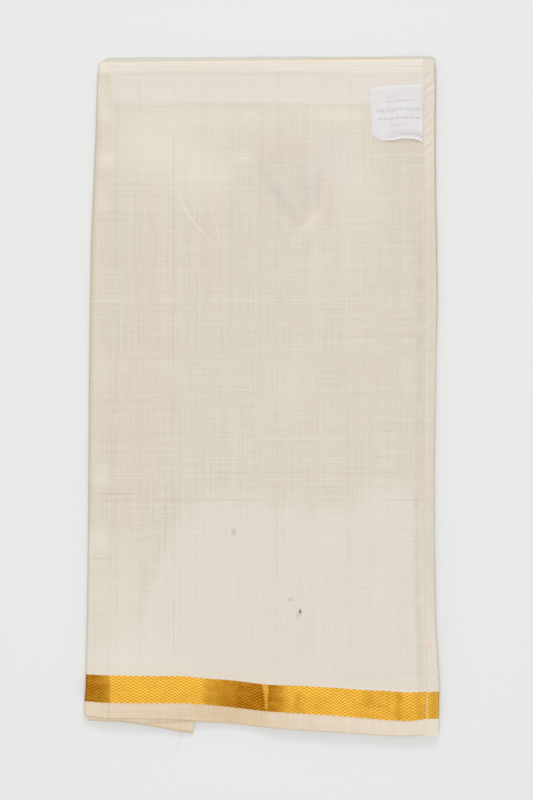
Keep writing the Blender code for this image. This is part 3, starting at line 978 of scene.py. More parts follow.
def border_values(across, share):
    """tone: painted reflection, how bright the gold floats look as they face up, read from the table
    between the band's two edges, with one wedge of painted highlight where a crease stands up."""
    low = np.interp(across, BORDER_REFLECTION["across"], BORDER_REFLECTION["low"])
    high = np.interp(across, BORDER_REFLECTION["across"], BORDER_REFLECTION["high"])
    tone = low + share * (high - low)
    wedge = band_between(across, 5.4 - 3.8 * share, 6.2 + 1.6 * share, 0.9)
    return {"tone": np.maximum(tone, 0.85 * wedge)}


BAND_ROWS, BAND_COLUMNS = 12, 380


def band_lift(across, along, share):
    """The border is a thicker weave: it stands a little proud, with its two edges level."""
    return 0.10 * np.sin(np.pi * np.clip(share, 0, 1))


points, measure = wrapped_grid(gold_low, gold_high, BAND_ROWS, BAND_COLUMNS, band_lift)
share = np.linspace(0, 1, BAND_ROWS)[:, None] + np.zeros(points.shape[:2])
band_measure = np.stack([measure[..., 0], share * ZIGZAG_ROWS * ZIGZAG_PITCH], axis=2)
zari_band = add_grid("zari_band", points, band_measure, border_values(measure[..., 0], share))
zari_band.data.materials.append(gold)
thicken(zari_band, SILK_WALL)
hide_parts("zari_border")

# %% [markdown]
# ## The selvedge
#
# Outside the gold the cloth ends in a plain woven edge. It is gathered a little where it sinks, and
# flutters at its free edge.

# %% The selvedge
def selvedge_silk():
    """Plain close weave without slubs, warm cream. It is a deeper cream where the border sinks, partly
    painted shade; next to the gold it is a little darker, with painted gold light thrown back.
    """
    material, tree, shader = new_material("close_woven_selvedge")
    uv = add(tree, "UVMap", uv_map="cloth_mm")
    check = woven(tree, uv, ((1.6, 40.0), (1.3, 30.0), (120.0, 1.5)), 1.2, 1.8, 31.0)
    light = add(tree, "Mix", {0: check, 6: colour("#EDE0CC"), 7: colour("#F3E7D6")}, out=2, data_type="RGBA")
    deep = add(tree, "Mix", {0: check, 6: colour("#DEC49E"), 7: colour("#E8CFAB")}, out=2, data_type="RGBA")
    under = add(tree, "Attribute", out="Fac", attribute_name="deep")
    tone = add(tree, "Mix", {0: under, 6: light, 7: deep}, out=2, data_type="RGBA")
    # Painted coats: gold light thrown back beside the border and shade in the hollows of the gathers, then
    # shade along the free edge and in one pressed fold.
    layers = (("gold_bounce_and_shade", 0.8, "#DCBF92"), ("edge", 1.0, "#C4AA7E"))
    finish_cloth(tree, shader, coats(tree, tone, layers), check, 0.3)
    return material


selvedge_cloth = selvedge_silk()
SELVEDGE_ROWS, SELVEDGE_COLUMNS = 14, 230


def gathered(across):
    """1 where the border sinks and the selvedge is drawn up, with soft ends."""
    return band_between(across, -80.0, 6.0, 14.0)


def gathers(across):
    """Upright waves about 5.5 mm long."""
    return ripples(across, 0 * across, 41, 5.5)


def selvedge_lift(across, along, share):
    """Small upright gathers where the border sinks, and a slow flutter at the free edge."""
    drawn_up = 0.20 * gathered(across) * gathers(across)
    flutter = 0.35 * (1 - share) ** 2 * ripples(across, 0 * along, 42, 38.0)
    return (drawn_up + flutter) * ease((1 - share) / 0.4)


def selvedge_values(measure, share):
    """deep: the darker, warmer cream where the border sinks, partly painted shade; then painted gold
    light thrown back beside the border, and painted shade in the hollows of the gathers; edge: painted
    shade along the free edge, and in one pressed fold."""
    across = measure[..., 0]
    stations = (-170, -150, -120, -80, -50, -20, 0, 20, 50, 100, 170)
    deep = np.interp(across, stations, (0.30, 0.45, 0.50, 0.60, 0.85, 0.95, 0.75, 0.50, 0.35, 0.20, 0.10))
    hollows = gathered(across) * ease((share - 0.25) / 0.4) * np.clip(-1.6 * gathers(across), 0, 1)
    gold_bounce_and_shade = 0.6 + 0.6 * bell(across - 136, 12)
    return {
        "deep": deep + 0.12 * ripples(across, 0 * across, 43, 17.0),
        "gold_bounce_and_shade": gold_bounce_and_shade * ease((share - 0.80) / 0.25) + 0.75 * hollows,
        "edge": 0.7 * ease((0.09 - share) / 0.09) + 0.35 * bell(across + 144.5, 0.8),
    }


points, measure = wrapped_grid(selvedge_line, gold_low, SELVEDGE_ROWS, SELVEDGE_COLUMNS, selvedge_lift)
share = np.linspace(0, 1, SELVEDGE_ROWS)[:, None] + np.zeros(points.shape[:2])
selvedge = add_grid("silk_selvedge", points, measure, selvedge_values(measure, share))
selvedge.data.materials.append(selvedge_cloth)
thicken(selvedge, SILK_WALL)
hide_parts("lower_selvedge")

# %% [markdown]
# ## The turned hem
#
# The cut end of the cloth is turned over by 11 mm and sewn down, so the hem is a strip that lies on
# the top layer, folds over its edge and ends just below. The sewing draws the cloth into small slanted
# puckers, most of all beside the label. The hem crosses the selvedge, the gold and the field.

# %% The hem's form
HEM_RISE = 0.55  # how far the turned hem stands above the cloth that it lies on
HEM_TURN = 1.1
HEM_COLUMNS = 14
PUCKER_LENGTH = 9.5


def hem_width(along):
    """The hem is 11 mm wide. It grows to nearly 14 mm at the border end, where the edge flares out."""
    return HEM + 2.7 * ease((66 - along) / 36)


def puckers(across_hem, along):
    """Slanted sine ripples of uneven length. They are deepest by the label, and die out at the outer
    fold."""
    by_label = 0.25 + 0.75 * band_between(along, 545.0, 635.0, 25.0)
    uneven = 0.6 + 0.4 * ripples(0 * along, along, 52, 31.0) * 2
    slant = along + 0.9 * across_hem
    wave = np.sin(2 * np.pi * slant / PUCKER_LENGTH + 3.2 * ripples(0 * along, along, 51, 40.0))
    return 0.30 * by_label * uneven * wave * np.sin(np.pi * np.clip(across_hem / HEM, 0, 1)) ** 0.7


def hem_grid(low, high, step=2.0):
    """A strip beside the right edge. Across it: up from the cloth at the sewn inner edge, a low arch,
    and a quarter circle down over the outer edge."""
    rows = max(6, round((high - low) / step))
    along = np.linspace(low, high, rows)[:, None]
    right = section("right", along)
    wide = hem_width(along)
    inward = (wide - 0.4) + np.linspace(0, 1, HEM_COLUMNS)[None, :] * (HEM_TURN - wide + 0.4)
    across = right - inward
    drawn_in = corner_loss(across, along) * ease((along - 560) / (high - 560)) if high > 600 else 0.0
    rise = HEM_RISE * ease((wide - 0.2 - inward) / 1.6) + 0.22 * np.sin(np.pi * (inward - HEM_TURN) / wide)
    height = silk_top(across, along + 0 * across) + 0.03 + rise + puckers(inward, along + 0 * across)
    flat = np.stack([across, along - drawn_in + 0 * across, height], axis=2)

    angle = np.radians(np.linspace(18, 90, 5))[None, :]
    crown = height[:, -1:]
    turn_x = right - HEM_TURN + HEM_TURN * np.sin(angle)
    turn_z = crown - HEM_TURN * (1 - np.cos(angle))
    foot_x = right + np.array([[0.0, -0.5]])
    foot_z = crown - HEM_TURN - np.array([[0.9, 1.5]])
    edge_x = np.concatenate([turn_x, foot_x], axis=1)
    edge_z = np.concatenate([turn_z, foot_z], axis=1)
    edge = np.stack([edge_x, np.broadcast_to(flat[:, -1:, 1], edge_x.shape), edge_z], axis=2)
    points = np.concatenate([flat, edge], axis=1)
    steps = np.linalg.norm(np.diff(points, axis=1), axis=2)
    path = np.concatenate([np.zeros((rows, 1)), np.cumsum(steps, axis=1)], axis=1)
    measure = np.stack([path + right - wide, points[..., 1]], axis=2)
    return points, measure


AT_HEM = 160.0
low_gold, high_gold = float(gold_low(AT_HEM)), float(gold_high(AT_HEM))
hem_ends = (float(selvedge_line(AT_HEM)) - 0.5, low_gold, high_gold, float(top_fold(AT_HEM)))
print("the hem changes weave at", [round(end, 1) for end in hem_ends])

# %% The hem's three stretches
def sewn_silk():
    """The silk of the hem: three layers thick, so it is warmer and closer than the field. The light
    and shade on the puckers are painted: painted highlight on the crests, painted shade between them."""
    material, tree, shader = new_material("sewn_silk_hem")
    uv = add(tree, "UVMap", uv_map="cloth_mm")
    check = woven(tree, uv, ((1.8, 200.0), (30.0, 1.6)), 0.75, 1.3, 61.0)
    tone = add(tree, "Mix", {0: check, 6: colour("#E0D5C3"), 7: colour("#E9DECE")}, out=2, data_type="RGBA")
    layers = (
        ("pale", 1.0, "#F1E8DB"),
        ("pucker_shade", 0.8, "#D8CCB8"),
        ("seam_and_fold_shade", 0.9, "#CFC1A8"),
        ("pink", 1.0, "#F3BDB3"),
    )
    finish_cloth(tree, shader, coats(tree, tone, layers), check, 0.3)
    return material


hem_silk = sewn_silk()


PINK_MARKS = np.array(
    [
        # across, along, half width, half length, lean, amount
        (160.5, 86, 1.3, 4.0, -0.4, 0.45),
        (163.2, 67, 1.1, 3.4, -0.3, 0.55),
        (162.0, 440, 2.0, 30.0, 0.0, 0.22),
        (162.0, 250, 2.0, 26.0, 0.0, 0.18),
    ],
    dtype=[(name, float) for name in ("x", "y", "w", "l", "lean", "amount")],
)


def hem_values(points):
    """pale: the lighter stretches, and painted highlight on the crests; then painted shade between the
    crests; then painted shade along the sewing and under the outer fold; pink: small faint marks."""
    across, along = points[..., 0], points[..., 1]
    inward = section("right", along) - across
    upper = ease((along - 500) / 60) + ease((170 - along) / 90)
    wave = puckers(inward, along) / 0.3
    pink = 0.0
    for row in PINK_MARKS:
        pink = pink + row["amount"] * spot(across, along, row["x"], row["y"], row["w"], row["l"], row["lean"])
    return {
        "pale": np.clip(0.44 * upper + 0.60 * np.clip(wave, 0, 1), 0, 1),
        "pucker_shade": np.clip(-0.9 * wave, 0, 1),
        "seam_and_fold_shade": 0.20 * bell(inward - hem_width(along) + 1.4, 0.9) + 0.85 * ease((0.7 - inward) / 0.8),
        "pink": np.clip(pink, 0, 1),
    }


def add_hem(name, low, high, material, node, step=2.0):
    """One stretch of the hem, from one place along to another. Rows of zigzags run on through it
    where it is gold."""
    points, measure = hem_grid(low, high, step)
    values = hem_values(points)
    if material is gold:
        share = (points[..., 1] - low) / (high - low)
        measure = np.stack([measure[..., 0], share * ZIGZAG_ROWS * ZIGZAG_PITCH], axis=2)
        inward = section("right", points[..., 1]) - points[..., 0]
        # Painted reflection: the hem's gold is bright, and darker where it turns down over the outer fold.
        values["tone"] = 1.25 - 0.6 * ease((1.2 - inward) / 1.0)
    piece = add_grid(name, points, measure, values)
    piece.data.materials.append(material)
    thicken(piece, SILK_WALL)
    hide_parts(node)
    return piece


add_hem("hem_selvedge", hem_ends[0], hem_ends[1], selvedge_cloth, "end_hem_selvedge", 1.4)
add_hem("hem_zari", hem_ends[1], hem_ends[2], gold, "end_hem_zari", 1.4)
add_hem("hem_field", hem_ends[2], hem_ends[3], hem_silk, "end_hem_field")

# %% [markdown]
# ## The label
#
# A square of white satin ribbon is caught in the hem by its right edge. Its lower edge curls up a
# little. The print on it is only suggested, by plain grey dashes in four rows.

# %% The label's form and finish
LABEL_LEFT, LABEL_RIGHT = (103.0, 105.6), 153.6
LABEL_CURL = 1.5
LABEL_SIZE = (48.5, 52.0)

LABEL_EDGES = np.array(
    [
        # share of the way across, bottom, top
        (0.00, 570.7, 614.6),
        (0.04, 568.6, 617.0),
        (0.20, 566.4, 618.3),
        (0.40, 567.0, 619.0),
        (0.60, 568.7, 619.6),
        (0.80, 568.6, 620.0),
        (0.92, 567.0, 620.3),
        (1.00, 565.2, 620.3),
    ],
    dtype=[(name, float) for name in ("share", "bottom", "top")],
)


def label_grid(count=48):
    """A skewed square on the cloth between its two edge lines. Its lower lip curls up by an
    exponential, and behind the lip the face sinks in a soft fold."""
    share_x = np.linspace(0, 1, count)[None, :]
    share_y = np.linspace(0, 1, count)[:, None] ** 1.3
    bottom = np.interp(share_x, LABEL_EDGES["share"], LABEL_EDGES["bottom"])
    top = np.interp(share_x, LABEL_EDGES["share"], LABEL_EDGES["top"])
    left = LABEL_LEFT[1] + share_y * (LABEL_LEFT[0] - LABEL_LEFT[1])
    across = left + share_x * (LABEL_RIGHT - left)
    along = bottom + share_y * (top - bottom)
    open_part = ease((share_x - 0.15) / 0.35) * (1 - 0.6 * ease((share_x - 0.85) / 0.15))
    curl = LABEL_CURL * np.exp(-share_y / 0.06) * open_part
    sunk = 0.25 * bell(share_y - 0.12, 0.05) * open_part
    height = silk_top(across, along) + 0.45 + curl - sunk + 0.12 * ripples(across, along, 71, 26.0)
    height = height + 0.25 * bell(share_y - 0.94, 0.04)
    points = np.stack([across + 0 * along, along, height], axis=2)
    measure = np.stack([share_x * LABEL_SIZE[0] + 0 * along, share_y * LABEL_SIZE[1] + 0 * along], axis=2)
    return points, measure


def label_values(measure):
    """shade: painted shade in the fold behind the lip; lip: painted highlight on the curled edge and on
    the folded strip along the top.
    """
    right_part = ease((measure[..., 0] - 8) / 14)
    high = measure[..., 1]
    crease_line = 0.55 * bell(high - 4.6, 0.8) * ease((measure[..., 0] - 24) / 6)
    fold = 0.30 * band_between(high, 1.8, 9.0, 2.5) + crease_line
    lower_left = 0.35 * bell(measure[..., 0] - 3, 6) * bell(high - 1, 2.5)
    lip = 0.9 * ease((2.0 - high) / 1.0) * right_part + 0.5 * ease((high - 48.5) / 1.5)
    return {"shade": fold * right_part + lower_left, "lip": lip}


PRINT_ROWS = (
    # height up the label, half height, from, to, dash length, strength
    (36.8, 0.7, 14.0, 40.5, 2.2, 0.50),
    (28.5, 1.5, 5.3, 47.4, 2.8, 0.42),
    (20.4, 0.8, 5.3, 46.8, 1.8, 0.70),
    (13.4, 0.7, 17.8, 34.8, 2.0, 0.40),
)


def satin():
    """Satin ribbon: long white floats, smoother than silk, with a faint print of plain dashes."""
    material, tree, shader = new_material("white_satin_ribbon")
    uv = add(tree, "UVMap", uv_map="cloth_mm")
    across = add(tree, "SeparateXYZ", (uv,), out="X")
    along = across.node.outputs["Y"]
    ribs = grains(tree, uv, 60.0, 1.4, 1.0, 73.0)
    cloud = add(tree, "MapRange", (grains(tree, uv, 14.0, 18.0, 2.0, 72.0), 0.35, 0.65))
    tone = add(tree, "Mix", {0: cloud, 6: colour("#E6E1E0"), 7: colour("#ECEAEA")}, out=2, data_type="RGBA")
    ink = 0.0
    for number, (height, half_height, start, end, dash, strength) in enumerate(PRINT_ROWS):
        offset = add(tree, "Math", (along, height), operation="SUBTRACT")
        aside = add(tree, "Math", (offset,), operation="ABSOLUTE")
        inside = add(tree, "MapRange", (aside, half_height * 1.5, half_height * 0.6, 0.0, strength))
        after = add(tree, "MapRange", (across, start - 0.5, start + 0.5))
        before = add(tree, "MapRange", (across, end + 0.5, end - 0.5))
        dashes = add(tree, "MapRange", (grains(tree, uv, dash, 9.0, 2.0, 80.0 + number), 0.36, 0.54))
        for share in (after, before, dashes):
            inside = add(tree, "Math", (inside, share), operation="MULTIPLY")
        ink = add(tree, "Math", (ink, inside), operation="MAXIMUM")
    # shade and lip are painted shade and painted highlight.
    layers = (
        (ribs, 0.12, "#DCDADA"),
        (ink, 0.62, "#A3A3A8"),
        ("shade", 1.0, "#C9C4C3"),
        ("lip", 1.0, "#F4F2EF"),
    )
    finish_cloth(tree, shader, coats(tree, tone, layers), ribs, 0.15, 0.45)
    return material


points, measure = label_grid()
label = add_grid("satin_label", points, measure, label_values(measure))
label.data.materials.append(satin())
thicken(label, FINE_WALL)
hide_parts("label")

# %% [markdown]
# ## The corner of an under layer
#
# At the border end an under layer has slipped: its selvedge leans out from below and ends in a free
# corner. A second edge lies between it and the top layer. Both are thin sheets between two lines.

# %% The slipped corner and the edge above it
FLAP = np.array(
    [
        # across, edge
        (-165, 15.0),
        (-134, 14.0),
        (-115, 11.2),
        (-96, 8.0),
        (-77, 4.2),
        (-64.6, 2.4),
    ],
    dtype=[(name, float) for name in ("across", "edge")],
)
FLAP_TOP = 29.0
FLAP_SLANT = 2.3
FLAP_DROOP = 1.6


def under_sheet(low, high, start, end, below, columns, rows=12, droop=0.0, slant=0.0):
    """A sheet between two lines, so far below the top layer, which hangs lower the further it sticks
    out, and whose end leans across."""
    across = np.linspace(start, end, columns)[None, :]
    share = np.linspace(0, 1, rows)[:, None]
    along = low(across) + share * (high - low(across))
    lean = slant * share * ease((across - end + 45) / 40)
    out = np.clip(border("edge", across) - along, 0, None)
    height = silk_top(across, np.maximum(along, border("edge", across))) - below - droop * out / 12
    height = height + 0.15 * (1 - share) * ripples(across, 0 * across, 91, 22.0)
    points = np.stack([across + lean, along + 0 * across, np.maximum(height, 0.35)], axis=2)
    measure = np.stack([points[..., 0], along + 0 * across], axis=2)
    # Painted shade: edge darkens the free edge, and the third mask darkens the sheet along the top layer's
    # edge above it. The same mask also darkens it about 85 mm left of the middle.
    values = {
        "deep": 0.42 + 0.2 * ripples(across, along, 92, 30.0),
        "edge": 0.75 * ease((0.12 - share) / 0.12) + 0 * across,
        "gold_bounce_and_shade": 0.25 * bell(along - border("edge", across), 1.6) + 0.18 * bell(across + 85, 14),
    }
    return points, measure, values


def flap_edge(across):
    """The free edge of the slipped corner."""
    return column(FLAP, "across", "edge", across)


def second_edge(across):
    """The edge that shows between the slipped corner and the top layer."""
    return np.interp(across, (-165, -130, -113, -90, -65), (15.4, 14.0, 12.9, 13.3, 14.4))


points, measure, values = under_sheet(
    flap_edge, FLAP_TOP, -164.4, -64.6, below=1.6, columns=70, rows=14, droop=FLAP_DROOP, slant=FLAP_SLANT
)
flap = add_grid("slipped_selvedge", points, measure, values)
flap.data.materials.append(selvedge_cloth)
thicken(flap, SILK_WALL)
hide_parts("under_selvedge")

points, measure, values = under_sheet(
    second_edge, FLAP_TOP, -164.6, -63.5, below=1.0, columns=70, rows=10, droop=0.5
)
second = add_grid("second_selvedge", points, measure, values)
second.data.materials.append(selvedge_cloth)
thicken(second, SILK_WALL)

# %% [markdown]
# ## The layers below
#
# Under the top layer lie the other folds of the cloth, each a pair of layers. They show only at the
# rim, as stacked soft edges that stick out unevenly. Each pair is a closed thin pad: rings of points
# follow the outline, run over a round nose and close in the middle. At the border end the pair is open,
# so its nose is notched into two lips. The border passes round every side fold, so the rim is gold there.

# %% The outline of a pair
PAIRS = 11
HALF_SIZE = (165.0, 322.0)  # of the plain oblong that is fitted to the pile's own outline
PAD_CORNER = 5.0
SIDE_POINTS = (100, 180)  # points along each short and each long side
CORNER_POINTS = 8


def oblong_ring(inset):
    """A rounded oblong's points, drawn in by an inset: four straight sides and four quarter circles."""
    wide, long = HALF_SIZE[0] - inset, HALF_SIZE[1] - inset
    turn = max(PAD_CORNER - inset, 0.4)
    side_x = np.linspace(turn - wide, wide - turn, SIDE_POINTS[0])
    side_y = np.linspace(turn - long, long - turn, SIDE_POINTS[1])
    arc = np.linspace(0, np.pi / 2, CORNER_POINTS + 2)[1:-1]
    out, on = turn * np.sin(arc), turn * np.cos(arc)
    flat_x, flat_y = np.full(len(side_y), wide), np.full(len(side_x), long)
    across = [side_x, wide - turn + out, flat_x, wide - turn + on, side_x[::-1], turn - wide - out, -flat_x]
    along = [-flat_y, turn - long - on, side_y, long - turn + out, flat_y, long - turn + on, side_y[::-1]]
    across.append(turn - wide - on)
    along.append(turn - long - out)
    return np.concatenate(across), np.concatenate(along)


NOSE = np.array(
    [
        # inset, height from the middle in shares of the pair, notch
        (150, 0.5, 0.0),
        (90, 0.5, 0.0),
        (40, 0.5, 0.0),
        (12, 0.5, 0.0),
        (4, 0.5, 0.0),
        (1.2, 0.5, 0.0),
        (0.45, 0.49, 0.0),
        (0.15, 0.40, 0.0),
        (0.04, 0.22, 0.1),
        (0.0, 0.0, 1.0),
        (0.04, -0.22, 0.1),
        (0.15, -0.40, 0.0),
        (0.45, -0.49, 0.0),
        (1.2, -0.5, 0.0),
        (4, -0.5, 0.0),
        (12, -0.5, 0.0),
        (40, -0.5, 0.0),
        (90, -0.5, 0.0),
        (150, -0.5, 0.0),
    ],
    dtype=[(name, float) for name in ("inset", "height", "notch")],
)
plain_rings = np.array([oblong_ring(inset) for inset in NOSE["inset"]])
print("rings and points of a pair:", plain_rings.shape[0], plain_rings.shape[2])

# %% The pairs of layers
UNDER_TOP = 0.5  # from the top layer's face down to the uppermost pair
UNDER_FOLD = 2.1  # the same behind the top fold
UNDER_WRAP = 3.4  # how far the upper pairs stay back inside the left fold
SIDE_DEPTH = {"bottom": (0.3, 3.6), "top": (0.2, 3.0), "left": (0.3, 1.0), "right": (0.2, 1.3)}


def stray(at, side, number):
    """How far a pair lies back from the outline at one side: a fixed depth and slow seeded waves."""
    fixed, most = SIDE_DEPTH[side]
    seed = 100 + 4 * number + list(SIDE_DEPTH).index(side)
    lean = np.random.default_rng(seed).uniform(-0.5, 0.5)
    waves = 0.7 * ripples(at, 0 * at, seed, 120.0, 4) + 0.4 * ripples(at, 0 * at, seed + 500, 34.0, 4)
    deepest = 0.35 if number >= PAIRS - 3 and side in ("top", "right") else 1.0
    return (fixed + most * ease(0.5 + 0.6 * waves + lean)) * deepest


def pair_points(number):
    """One pair: the plain rings stretched to the pile's outline, less this pair's own depths, at its
    own share of the stack's height."""
    share_x = plain_rings[:, 0] / (2 * HALF_SIZE[0]) + 0.5
    share_y = plain_rings[:, 1] / (2 * HALF_SIZE[1]) + 0.5
    rough_along = 18 + 628 * share_y
    upper = ease((number - 1.5) / 2.0)
    left = section("left", rough_along) + 0.3 + stray(rough_along, "left", number) + UNDER_WRAP * upper
    right = section("right", rough_along) + section("peek", rough_along) - stray(rough_along, "right", number)
    across = left + share_x * (right - left)
    low = border("under", across) + stray(across, "bottom", number)
    low = low + 0.7 * NOSE["notch"][:, None] * ease((0.03 - share_y) / 0.02)
    high = top_edge("under", across) - stray(across, "top", number)
    along = low + share_y * (high - low)

    covered_x = np.clip(across, section("left", along) + TURN, section("right", along) - UNDER_HEM)
    covered_y = np.clip(along, border("edge", across) + 0.5, top_edge("panel", across) - 1.0)
    behind_fold = ease((along - top_edge("panel", across) + 4) / 3)
    slipped = 1.3 * ease((-50 - across) / 8) * ease((34 - along) / 6)
    inner = 0.4 * ease(NOSE["inset"][:, None] / 12)
    stack = silk_top(covered_x, covered_y) - UNDER_TOP - inner - slipped
    stack = stack - (UNDER_FOLD - UNDER_TOP) * behind_fold
    height = 0.02 + stack * (number + 0.5 + 0.96 * NOSE["height"][:, None]) / PAIRS
    return np.stack([across, along, height], axis=2)


def pair_mesh(number):
    """Joins the rings of a pair, and closes its upper and lower middle with a fan of faces."""
    rings = pair_points(number)
    count, around = rings.shape[:2]
    points = np.concatenate([rings.reshape(-1, 3), rings[0].mean(axis=0)[None], rings[-1].mean(axis=0)[None]])
    faces = grid_faces(count, around, closed_columns=True)[:, ::-1].tolist()
    first, last = np.arange(around), np.arange(around) + around * (count - 1)
    upper, lower = np.full(around, count * around), np.full(around, count * around + 1)
    faces += np.stack([first, np.roll(first, -1), upper], axis=1).tolist()
    faces += np.stack([np.roll(last, -1), last, lower], axis=1).tolist()
    return points, faces


# %% The folded silk's material
RIM_GOLD = (25.4, 51.2)  # where the border passes round the folds, along the middle of the pile
RIM_LEAN = 0.05  # how much lower it runs for each mm across


def rim_silk():
    """The folds at the rim: the same silk, with the gold border where it passes round the folds, and
    the warm selvedge at the border end. Its cream is darker than the field's, as painted shade on the
    sides of the stack, and a paler grey at the top fold end. It reads the place on the object."""
    material, tree, shader = new_material("folded_silk_rim")
    place = add(tree, "TexCoord", out="Object")
    across = add(tree, "SeparateXYZ", (place,), out="X")
    along = across.node.outputs["Y"]
    leaning = add(tree, "Math", (across, RIM_LEAN, along), operation="MULTIPLY_ADD")
    low, high, soft = (RIM_GOLD[0] - CENTRE[1]) * MM, (RIM_GOLD[1] - CENTRE[1]) * MM, 0.6 * MM
    above = add(tree, "MapRange", (leaning, low - soft, low + soft))
    below = add(tree, "MapRange", (leaning, high + soft, high - soft))
    banded = add(tree, "Math", (above, below), operation="MULTIPLY")
    selvedge_end = add(tree, "MapRange", (leaning, low, low - 8 * MM))
    scaled = add(tree, "VectorMath", (place, (160.0, 160.0, 2600.0)), operation="MULTIPLY")
    threads = add(tree, "TexNoise", {"Vector": scaled, "Scale": 1.0, "Detail": 3.0})
    cream = {0: threads, 6: colour("#BBB096"), 7: colour("#DAD0BB")}
    cream = add(tree, "Mix", cream, out=2, data_type="RGBA")
    warm = {0: threads, 6: colour("#C9AE82"), 7: colour("#E0CBA8")}
    warm = add(tree, "Mix", warm, out=2, data_type="RGBA")
    golden = {0: threads, 6: colour("#A86C0E"), 7: colour("#EDB63A")}
    golden = add(tree, "Mix", golden, out=2, data_type="RGBA")
    fold_end = add(tree, "MapRange", (along, (638 - CENTRE[1]) * MM, (642 - CENTRE[1]) * MM))
    tone = add(tree, "Mix", {0: selvedge_end, 6: cream, 7: warm}, out=2, data_type="RGBA")
    tone = coats(tree, tone, ((fold_end, 0.85, "#E4E0D4"),))
    tone = add(tree, "Mix", {0: banded, 6: tone, 7: golden}, out=2, data_type="RGBA")
    finish_cloth(tree, shader, tone, threads, 0.3)
    tree.links.new(add(tree, "Math", (banded, 0.7), operation="MULTIPLY"), shader.inputs["Metallic"])
    return material


def plain_mesh(name, points, faces, material):
    """A smooth piece from points in mm and faces of any kind, which rides with the rest."""
    mesh = bpy.data.meshes.new(name)
    mesh.from_pydata(to_metres(points).tolist(), [], faces)
    mesh.update()
    mesh.shade_smooth()
    mesh.materials.append(material)
    piece = bpy.data.objects.new(name, mesh)
    bpy.context.scene.collection.objects.link(piece)
    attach(piece, "root")
    return piece


rim_material = rim_silk()
for number in range(PAIRS):
    pair = plain_mesh(f"folded_pair_{number + 1:02d}", *pair_mesh(number), rim_material)
    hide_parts("folded_layers")
print("pairs of layers:", PAIRS, " faces of one:", len(pair.data.polygons))

# %% The inner gold edge
# At the top fold an under layer's own border shows as a hair line of gold. It is a narrow strip that
# goes a centimetre back between the layers. One sheer layer covers it, which makes it pale and matt.
INNER_EDGE = (24.0, 150.0)
INNER_BACK, INNER_OUT, INNER_BELOW = 11.0, 0.8, 1.35  # mm behind, beyond and below the fold's line


def veiled_zari():
    """Woven gold thread under sheer silk: a pale matt yellow, a little uneven along the floats."""
    material, tree, shader = new_material("zari_under_sheer_silk")
    uv = add(tree, "UVMap", uv_map="cloth_mm")
    floats = grains(tree, uv, 6.0, 1.0, 2.0, 25.0)
    tone = add(tree, "Mix", {0: floats, 6: colour("#E2BE74"), 7: colour("#F8E2AE")}, out=2, data_type="RGBA")
    tree.links.new(tone, shader.inputs["Base Color"])
    shader.inputs["Roughness"].default_value = 0.6
    return material


def inner_edge_grid():
    """A strip along the top fold: its front line leans with the fold, stands out most in the middle
    of its length, and lies a little below the silk."""
    across = np.linspace(*INNER_EDGE, 60)[None, :]
    share = np.linspace(0, 1, 6)[:, None]
    taper = ease((across - INNER_EDGE[0]) / 32) * ease((INNER_EDGE[1] - across) / 40)
    along = top_edge("panel", across) - INNER_BACK + share * (INNER_BACK + INNER_OUT * taper)
    height = silk_top(across, top_edge("panel", across) - 2.0) - INNER_BELOW + 0 * along
    points = np.stack([across + 0 * along, along, height], axis=2)
    return points, np.stack([points[..., 0], along], axis=2)


inner_edge = add_grid("inner_zari_edge", *inner_edge_grid())
inner_edge.data.materials.append(veiled_zari())
thicken(inner_edge, FINE_WALL)

# %% [markdown]
# ## The sewing
#
# One row of machine stitches holds the hem. Each stitch is a short thread that dips at both ends, so
# it is drawn as a small tube along an arch, and all stitches are made together as one array. The
# same tube, on a longer path, makes the one frayed thread that hangs below the slipped corner.

# %% Stitches and a loose thread
STITCH, STITCH_PITCH, THREAD_RADIUS = 2.5, 2.9, 0.34
LOOSE_RADIUS = 0.16


def tubes(across, along, height, radius, sides=6):
    """Thin tubes along paths that run mostly along the cloth: a path on each row, and a ring of points
    with its own radius at each station."""
    angle = np.linspace(0, 2 * np.pi, sides, endpoint=False)
    tube_x = across[..., None] + radius[None, :, None] * np.cos(angle)
    tube_z = height[..., None] + radius[None, :, None] * np.sin(angle)
    tube_y = np.broadcast_to(along[..., None], tube_x.shape)
    points = np.stack([tube_x, tube_y, tube_z], axis=3)
    count, stations = across.shape
    faces = grid_faces(stations, sides, closed_columns=True)[:, ::-1]
    caps = np.array([np.arange(sides), (stations - 1) * sides + np.arange(sides)[::-1]])
    shift = np.arange(count)[:, None, None] * stations * sides
    all_faces = (faces[None] + shift).reshape(-1, 4).tolist()
    all_faces += (caps[None] + shift).reshape(-1, sides).tolist()
    return points.reshape(-1, 3), all_faces


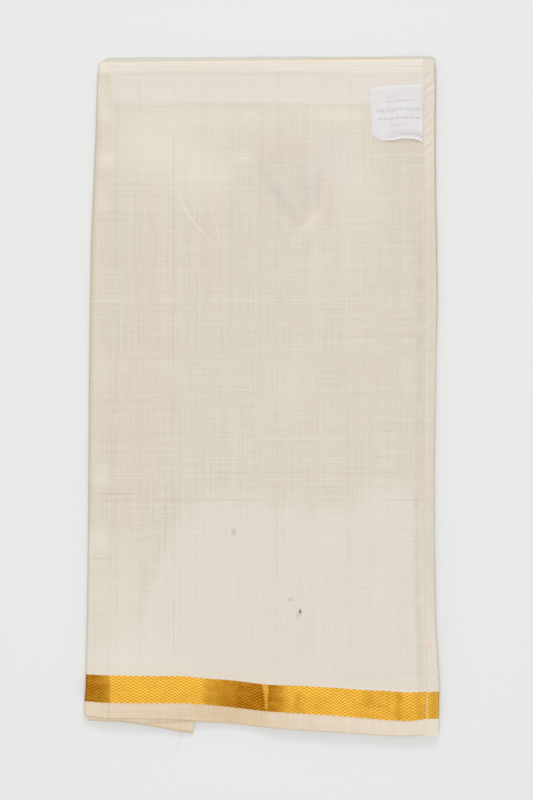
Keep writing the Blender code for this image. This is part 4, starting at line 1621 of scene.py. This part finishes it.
def stitch_row(starts, stations=7):
    """Each stitch is a small arch, thinner at both ends, where it dips into the cloth."""
    share = np.linspace(0, 1, stations)
    along = starts[:, None] + STITCH * share[None, :]
    inward = hem_width(along) - 1.0 - 1.2 * ease((46 - along) / 30)
    across = section("right", along) - inward
    rise = HEM_RISE * ease((hem_width(along) - 0.2 - inward) / 1.6)
    middle = silk_top(across, along) + rise + 0.02 + 0.26 * np.sin(np.pi * share)[None, :]
    radius = THREAD_RADIUS * np.sqrt(np.clip(np.sin(np.pi * (0.04 + 0.92 * share)), 0, 1))
    return tubes(across, along, middle, radius)


def spun_thread():
    """White spun polyester thread, matt, with the twist left out as too fine to show."""
    material, tree, shader = new_material("white_sewing_thread")
    place = add(tree, "TexCoord", out="Object")
    patch = add(tree, "TexNoise", {"Vector": place, "Scale": 220.0, "Detail": 1.0})
    tone = add(tree, "Mix", {0: patch, 6: colour("#E6DCC9"), 7: colour("#F6F1E8")}, out=2, data_type="RGBA")
    tree.links.new(tone, shader.inputs["Base Color"])
    shader.inputs["Roughness"].default_value = 0.7
    return material


starts = np.arange(hem_ends[0] + 2.0, hem_ends[3] - 3.0, STITCH_PITCH)
sewing_thread = spun_thread()
stitches = plain_mesh("hem_stitches", *stitch_row(starts), sewing_thread)
print("stitches:", len(starts))

# A frayed end hangs over the slipped corner and trails on the floor.
LOOSE_ALONG = np.array([10.0, 7.0, 4.5, 3.0, 1.0, -2.0, -5.5, -9.0, -12.0])
LOOSE_ACROSS = np.interp(LOOSE_ALONG, (-12.0, -6.0, 2.0, 10.0), (-80.2, -77.9, -76.0, -76.6))
LOOSE_HEIGHT = np.interp(LOOSE_ALONG, (-12.0, -4.0, 3.4, 4.6, 10.0), (0.25, 0.3, 2.8, 3.0, 3.7))
loose_radius = np.full(len(LOOSE_ALONG), LOOSE_RADIUS)
loose = tubes(LOOSE_ACROSS[None], LOOSE_ALONG[None], LOOSE_HEIGHT[None], loose_radius)
loose_thread = plain_mesh("loose_thread", *loose, sewing_thread)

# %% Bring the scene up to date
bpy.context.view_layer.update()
